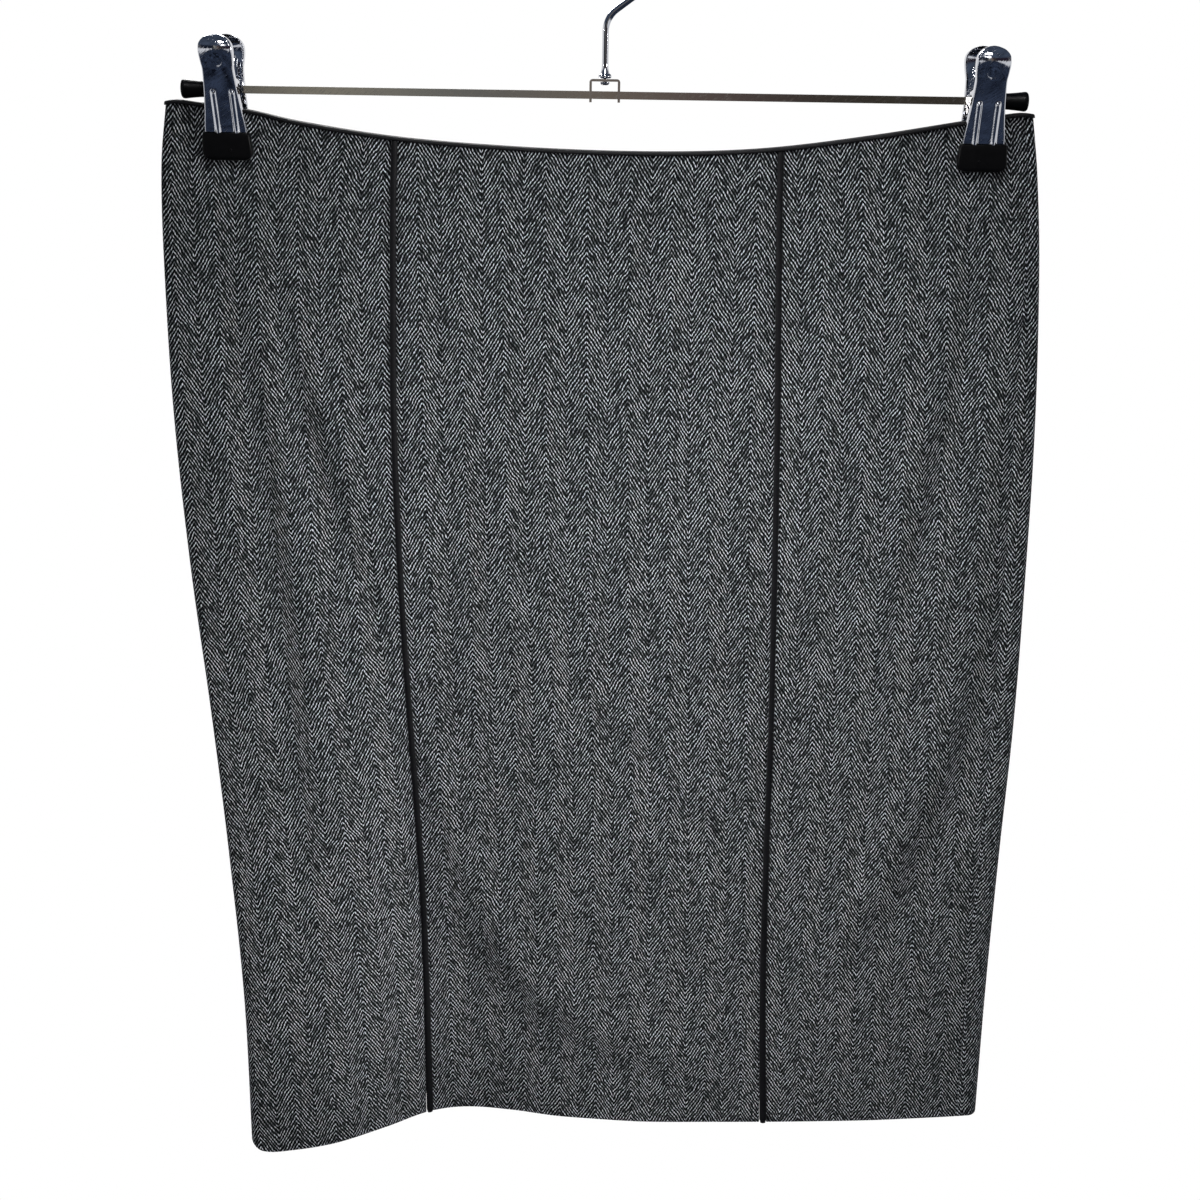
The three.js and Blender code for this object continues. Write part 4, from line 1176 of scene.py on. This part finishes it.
    def boot_ring(self, z: float, half: float, front: float, back: float, corner: float) -> Array:
        """A rounded rectangle seen from above, of 48 points."""
        points = []
        middle_y, deep = (front + back) / 2, (back - front) / 2
        for cx, cy, start in ((1, 1, 0), (-1, 1, 90), (-1, -1, 180), (1, -1, 270)):
            for step in range(12):
                angle = math.radians(start + 90 * step / 11)
                x = cx * (half - corner) + corner * math.cos(angle)
                points.append((x, middle_y + cy * (deep - corner) + corner * math.sin(angle), z))
        return np.array(points)

    def boot_surface(self) -> Surface:
        """The rubber boot: a pocket for the jaw and a rounded outside."""
        rings = []
        for z, grow in ((-31.2, 0.0), (-31.0, 0.15), (-21.0, 0.2), (-20.75, 0.3), (-20.6, 0.6)):
            front = -(5.15 + (z + 31) * 0.125 + 0.35 + grow)
            rings.append(self.boot_ring(z, 10.45 + grow, front, -2.7 + grow * 0.3, 0.6))
        for z, half, outer, inner, corner in (
            (-20.62, 11.25, 7.05, 2.5, 0.7), (-20.75, 11.45, 7.3, 2.34, 0.85), (-21.3, 11.62, 7.42, 2.3, 0.95),
            (-24.0, 11.9, 7.28, 2.3, 1.0), (-27.0, 12.2, 7.05, 2.3, 1.0), (-29.6, 12.42, 6.88, 2.3, 1.0),
            (-31.2, 12.2, 6.75, 2.3, 1.0), (-32.3, 11.55, 6.62, 2.32, 1.0), (-33.1, 10.6, 6.4, 2.42, 0.95),
            (-33.7, 9.4, 5.95, 2.75, 0.8), (-34.0, 8.3, 5.2, 3.4, 0.6),
        ):
            rings.append(self.boot_ring(z, half, -outer, -inner, corner))
        points, faces = loft(rings)
        # a small moulding pip low on the face, and two over the ends of the ribs
        parts = [(points, faces)]
        pips = (-self.side * 1.8, -6.98, -28.8, 1.0), (-4.6, -7.1, -21.9, 0.8), (4.6, -7.1, -21.9, 0.8)
        for x, y, z, size in pips:
            pip = turned([(0.62, -0.25), (0.62, 0.0), (0.52, 0.22), (0.3, 0.36), (0.08, 0.4)], 16)
            lying = np.stack([pip[0][:, 0], -pip[0][:, 2], pip[0][:, 1]], axis=1)
            parts.append((lying * size + (x, y, z), pip[1]))
        return together(parts)

    def spring_surface(self) -> Surface:
        """The spring, whose two legs press the plates' tops apart."""
        radius, half, wire = 4.0, 3.8, 0.68
        leg_y, leg_z = 14.0, 14.3
        turns = np.linspace(math.pi, 10 * math.pi, 170)
        along = np.linspace(-half, half, len(turns))
        coil = np.stack([along, radius * np.cos(turns), radius * np.sin(turns)], axis=1)
        rise = np.linspace(1, 0.12, 9)[:, None]
        first = coil[0] + rise * (np.array([-half, -leg_y, leg_z]) - coil[0])
        last = coil[-1] + rise[::-1] * (np.array([half, leg_y, leg_z]) - coil[-1])
        path = np.concatenate([first, coil, last])
        return sweep(path, np.full(len(path), wire), 10)

    def build(self, chrome: Material, plain: Material, rubber: Material) -> None:
        """Builds the whole clip, with the finishes of its plates, its spring and its boots."""
        for which, x in (("front", self.ear_x), ("rear", self.ear_x - (self.steel + SEAM_GAP))):
            plate = together([self.plate_surface(), self.ear(-x), self.ear(x)])
            for half, kind, slot, (points, faces), finish, angle in (
                ("plate", "pressed", "chrome", plate, chrome, 55),
                ("boot", "moulded", "black_rubber", self.boot_surface(), rubber, 50),
            ):
                surface = self.place(points, which == "rear"), faces
                dress(f"clip_{self.name}_{which}_{half}", kind, surface, [finish], smooth_angle=angle)
        points, faces = self.spring_surface()
        dress(f"clip_{self.name}_spring", "coiled", (self.place(points), faces), [plain])


@dataclass
class Hanger:
    """The clip hanger: hook, bracket, rod, caps and two clips."""

    clips: tuple[Clip, ...] = (Clip(-1, lean=0.035, rib_shift=1.0), Clip(1))
    caps: tuple[RodCap, ...] = (RodCap(-1), RodCap(1))
    hook: Hook = field(default_factory=Hook)

    def build(self) -> None:
        """Builds and dresses the hanger."""
        bright = ChromePlate(Wear.BRIGHT).build()
        scratched = ChromePlate(Wear.SCRATCHED).build()
        # the rod's colour is tinted a little brown: painted reflection of the brown room it mirrors, on chrome that
        # is really duller
        dulled_reflection_tinted = ChromePlate(Wear.DULLED, colour="#cfcac2", roughness=0.14).build()
        rubber = MouldedRubber().build()
        self.hook.build(bright)
        for cap in self.caps:
            cap.build(rubber)
        for clip in self.clips:
            clip.build(scratched, bright, rubber)
        for node, finish in (("hook_bracket", bright), ("hanger_rod", dulled_reflection_tinted)):
            mesh = bpy.data.objects[node].data
            mesh.materials.clear()
            mesh.materials.append(finish)
            log.info("%s: finished", node)


# ---- The studio ----


CORNERS = ((-1, -1), (1, -1), (1, 1), (-1, 1))


@dataclass(frozen=True)
class SoftLight:
    """A soft box aimed at the skirt: square, or a tall strip with a grid that keeps its beam narrow."""

    name: str
    place: tuple[float, float, float]
    size: float
    power: float
    aim: tuple[float, float, float] = (0.0, 0.0, -0.34)
    spread: float = 180.0
    height: float = 0.0

    def build(self) -> None:
        """Adds the light."""
        lamp = bpy.data.lights.new(self.name, "AREA")
        lamp.size, lamp.energy = self.size, self.power
        if self.height:
            lamp.shape, lamp.size_y = "RECTANGLE", self.height
        lamp.spread = math.radians(self.spread)
        made = bpy.data.objects.new(self.name, lamp)
        made.location = self.place
        made.rotation_euler = (Vector(self.aim) - Vector(self.place)).to_track_quat("-Z", "Y").to_euler()
        bpy.context.collection.objects.link(made)


@dataclass(frozen=True)
class Studio:
    """A plain pale floor, a pale surround, soft lights and the camera."""

    floor_z: float = -1.25
    floor_reach: float = 9.0
    ambient: float = 0.04
    sensor: float = 36.0  # mm
    focal: float = 1742 / 1200  # of the picture's width
    stand: tuple[float, float, float] = (0.0016, -0.9, -0.067)
    turns: tuple[float, float] = (72.5, 0.9)  # degrees about X and Z
    room_colours: tuple[tuple[float, str], ...] = (
        (0.0, "#1c2230"), (1.0, "#2a2430"), (0.1, "#1c2230"), (0.13, "#a5a297"), (0.2, "#a5a297"),
        (0.34, "#5c6670"), (0.47, "#837b70"), (0.6, "#625256"), (0.72, "#262623"), (0.86, "#423f36"),
    )
    lights: tuple[SoftLight, ...] = (
        SoftLight("key", (0.04, -0.6, 0.12), 0.2, 0.21, aim=(0.03, 0.0, -0.36), spread=56),
        SoftLight("high", (0.03, -1.0, 1.0), 0.3, 1.05, aim=(0.03, 0.0, -0.54), spread=34),
        SoftLight("strip right", (0.9, -0.5, -0.28), 0.1, 0.12, (-0.16, 0.0, -0.36), 8, height=0.6),
        SoftLight("strip left", (-0.9, -0.5, -0.28), 0.1, 0.12, (0.16, 0.0, -0.4), 8, height=0.6),
        SoftLight("back", (-0.5, 1.5, 0.9), 0.8, 8.0, aim=(0.0, 0.0, -0.36), spread=80),
    )

    def by_ray(self, tree: Tree, lit: Node, mirrored: Node, seen: Node) -> Node:
        """Mixes what lights the part, what its metal mirrors and what the camera sees."""
        ray = add_node(tree, "ShaderNodeLightPath").outputs
        mixed = add_node(tree, "ShaderNodeMixShader", inputs={0: ray["Is Glossy Ray"], 1: lit, 2: mirrored})
        return add_node(tree, "ShaderNodeMixShader", inputs={0: ray["Is Camera Ray"], 1: mixed, 2: seen})

    def build_floor(self) -> None:
        """Adds the floor, which isn't part of the skirt."""
        material, tree, shader = new_material("floor, matt white paint")
        place = add_node(tree, "ShaderNodeTexCoord").outputs["Object"]
        grain = noise(tree, place, 6.0, 3.0)
        plug(tree, shader, {"Base Color": blend(tree, grain, "#fafafa", "#ffffff"), "Roughness": 0.9})
        # the eye sees it evenly white, and the chrome mirrors it as the darker floor of a furnished room
        patches = blend(tree, remap(tree, grain, 0.38, 0.62), "#0a0c14", "#3f4a60")
        parts = add_node(tree, "ShaderNodeSeparateXYZ", inputs={0: place}).outputs
        beside = remap(tree, calc(tree, "ABSOLUTE", parts["X"]), 2.0, 2.8, smooth=True)
        dark = add_node(tree, "ShaderNodeEmission", inputs={"Color": blend(tree, beside, patches, "#eceef2")})
        white = add_node(tree, "ShaderNodeEmission", inputs={"Color": WHITE})
        output = next(node for node in tree.nodes if node.type == "OUTPUT_MATERIAL")
        plug(tree, output, {"Surface": self.by_ray(tree, shader, dark, white)})
        mesh = bpy.data.meshes.new("floor")
        corners = [(x * self.floor_reach, y * self.floor_reach, self.floor_z) for x, y in CORNERS]
        mesh.from_pydata(corners, [], [(0, 1, 2, 3)])
        mesh.materials.append(material)
        floor = bpy.data.objects.new("floor", mesh)
        bpy.context.collection.objects.link(floor)

    def build_surround(self) -> None:
        """Makes the surround: white to the eye, soft light for cloth, and a dark-ceilinged room for chrome."""
        world = bpy.data.worlds.new("studio")
        bpy.context.scene.world = world
        world.use_nodes = True
        tree = world.node_tree
        tree.nodes.clear()
        way = add_node(tree, "ShaderNodeTexCoord").outputs["Generated"]
        parts = add_node(tree, "ShaderNodeSeparateXYZ", inputs={0: way}).outputs
        ceiling = remap(tree, parts["Z"], 0.16, 0.34, smooth=True)
        dark = blend(tree, noise(tree, way, 2.6, 2.0), "#10131c", "#5d6a80")
        # the furnished end of the room lies behind the camera, between bright side walls
        furniture = add_node(tree, "ShaderNodeValToRGB", inputs={0: remap(tree, parts["X"], -0.25, 0.25)})
        ramp = furniture.color_ramp
        for spot, colour in self.room_colours[2:]:
            ramp.elements.new(spot)
        for element, (spot, colour) in zip(ramp.elements, sorted(self.room_colours)):
            element.position, element.color = spot, linear(colour)
        wall = remap(tree, calc(tree, "ABSOLUTE", parts["X"]), 0.78, 0.94, smooth=True)
        bright = calc(tree, "MAXIMUM", wall, calc(tree, "GREATER_THAN", parts["Y"], 0.0))
        room = blend(tree, ceiling, blend(tree, bright, furniture, "#f6f6f8"), dark)
        soft, mirrored, white = (
            add_node(tree, "ShaderNodeBackground", inputs={"Color": colour, "Strength": strength})
            for colour, strength in ((linear("#eef1f6"), self.ambient), (room, 1.0), (WHITE, 1.0))
        )
        add_node(tree, "ShaderNodeOutputWorld", inputs={0: self.by_ray(tree, soft, mirrored, white)})

    def build_camera(self) -> None:
        """Sets the camera at the photograph's viewing angle: 0.9 m off, looking down 17.5 degrees."""
        data = bpy.data.cameras.new("camera")
        data.sensor_width, data.lens = self.sensor, self.sensor * self.focal
        data.clip_start, data.clip_end = 0.05, 60.0
        camera = bpy.data.objects.new("camera", data)
        pitch, roll = (Matrix.Rotation(math.radians(turn), 4, axis) for turn, axis in zip(self.turns, "XZ"))
        camera.matrix_world = Matrix.Translation(self.stand) @ pitch @ roll
        bpy.context.collection.objects.link(camera)
        bpy.context.scene.camera = camera

    def build(self) -> None:
        """Builds the studio."""
        bpy.context.scene.view_settings.view_transform = "Standard"
        self.build_camera()
        self.build_floor()
        self.build_surround()
        for light in self.lights:
            light.build()
        log.info("studio: %d lights", len(self.lights))


def main() -> None:
    """Builds the studio, the skirt and its hanger."""
    logging.basicConfig(level=logging.INFO, format="%(name)s: %(message)s")
    Studio().build()
    Skirt().build()
    Hanger().build()


if __name__ == "__main__":
    main()
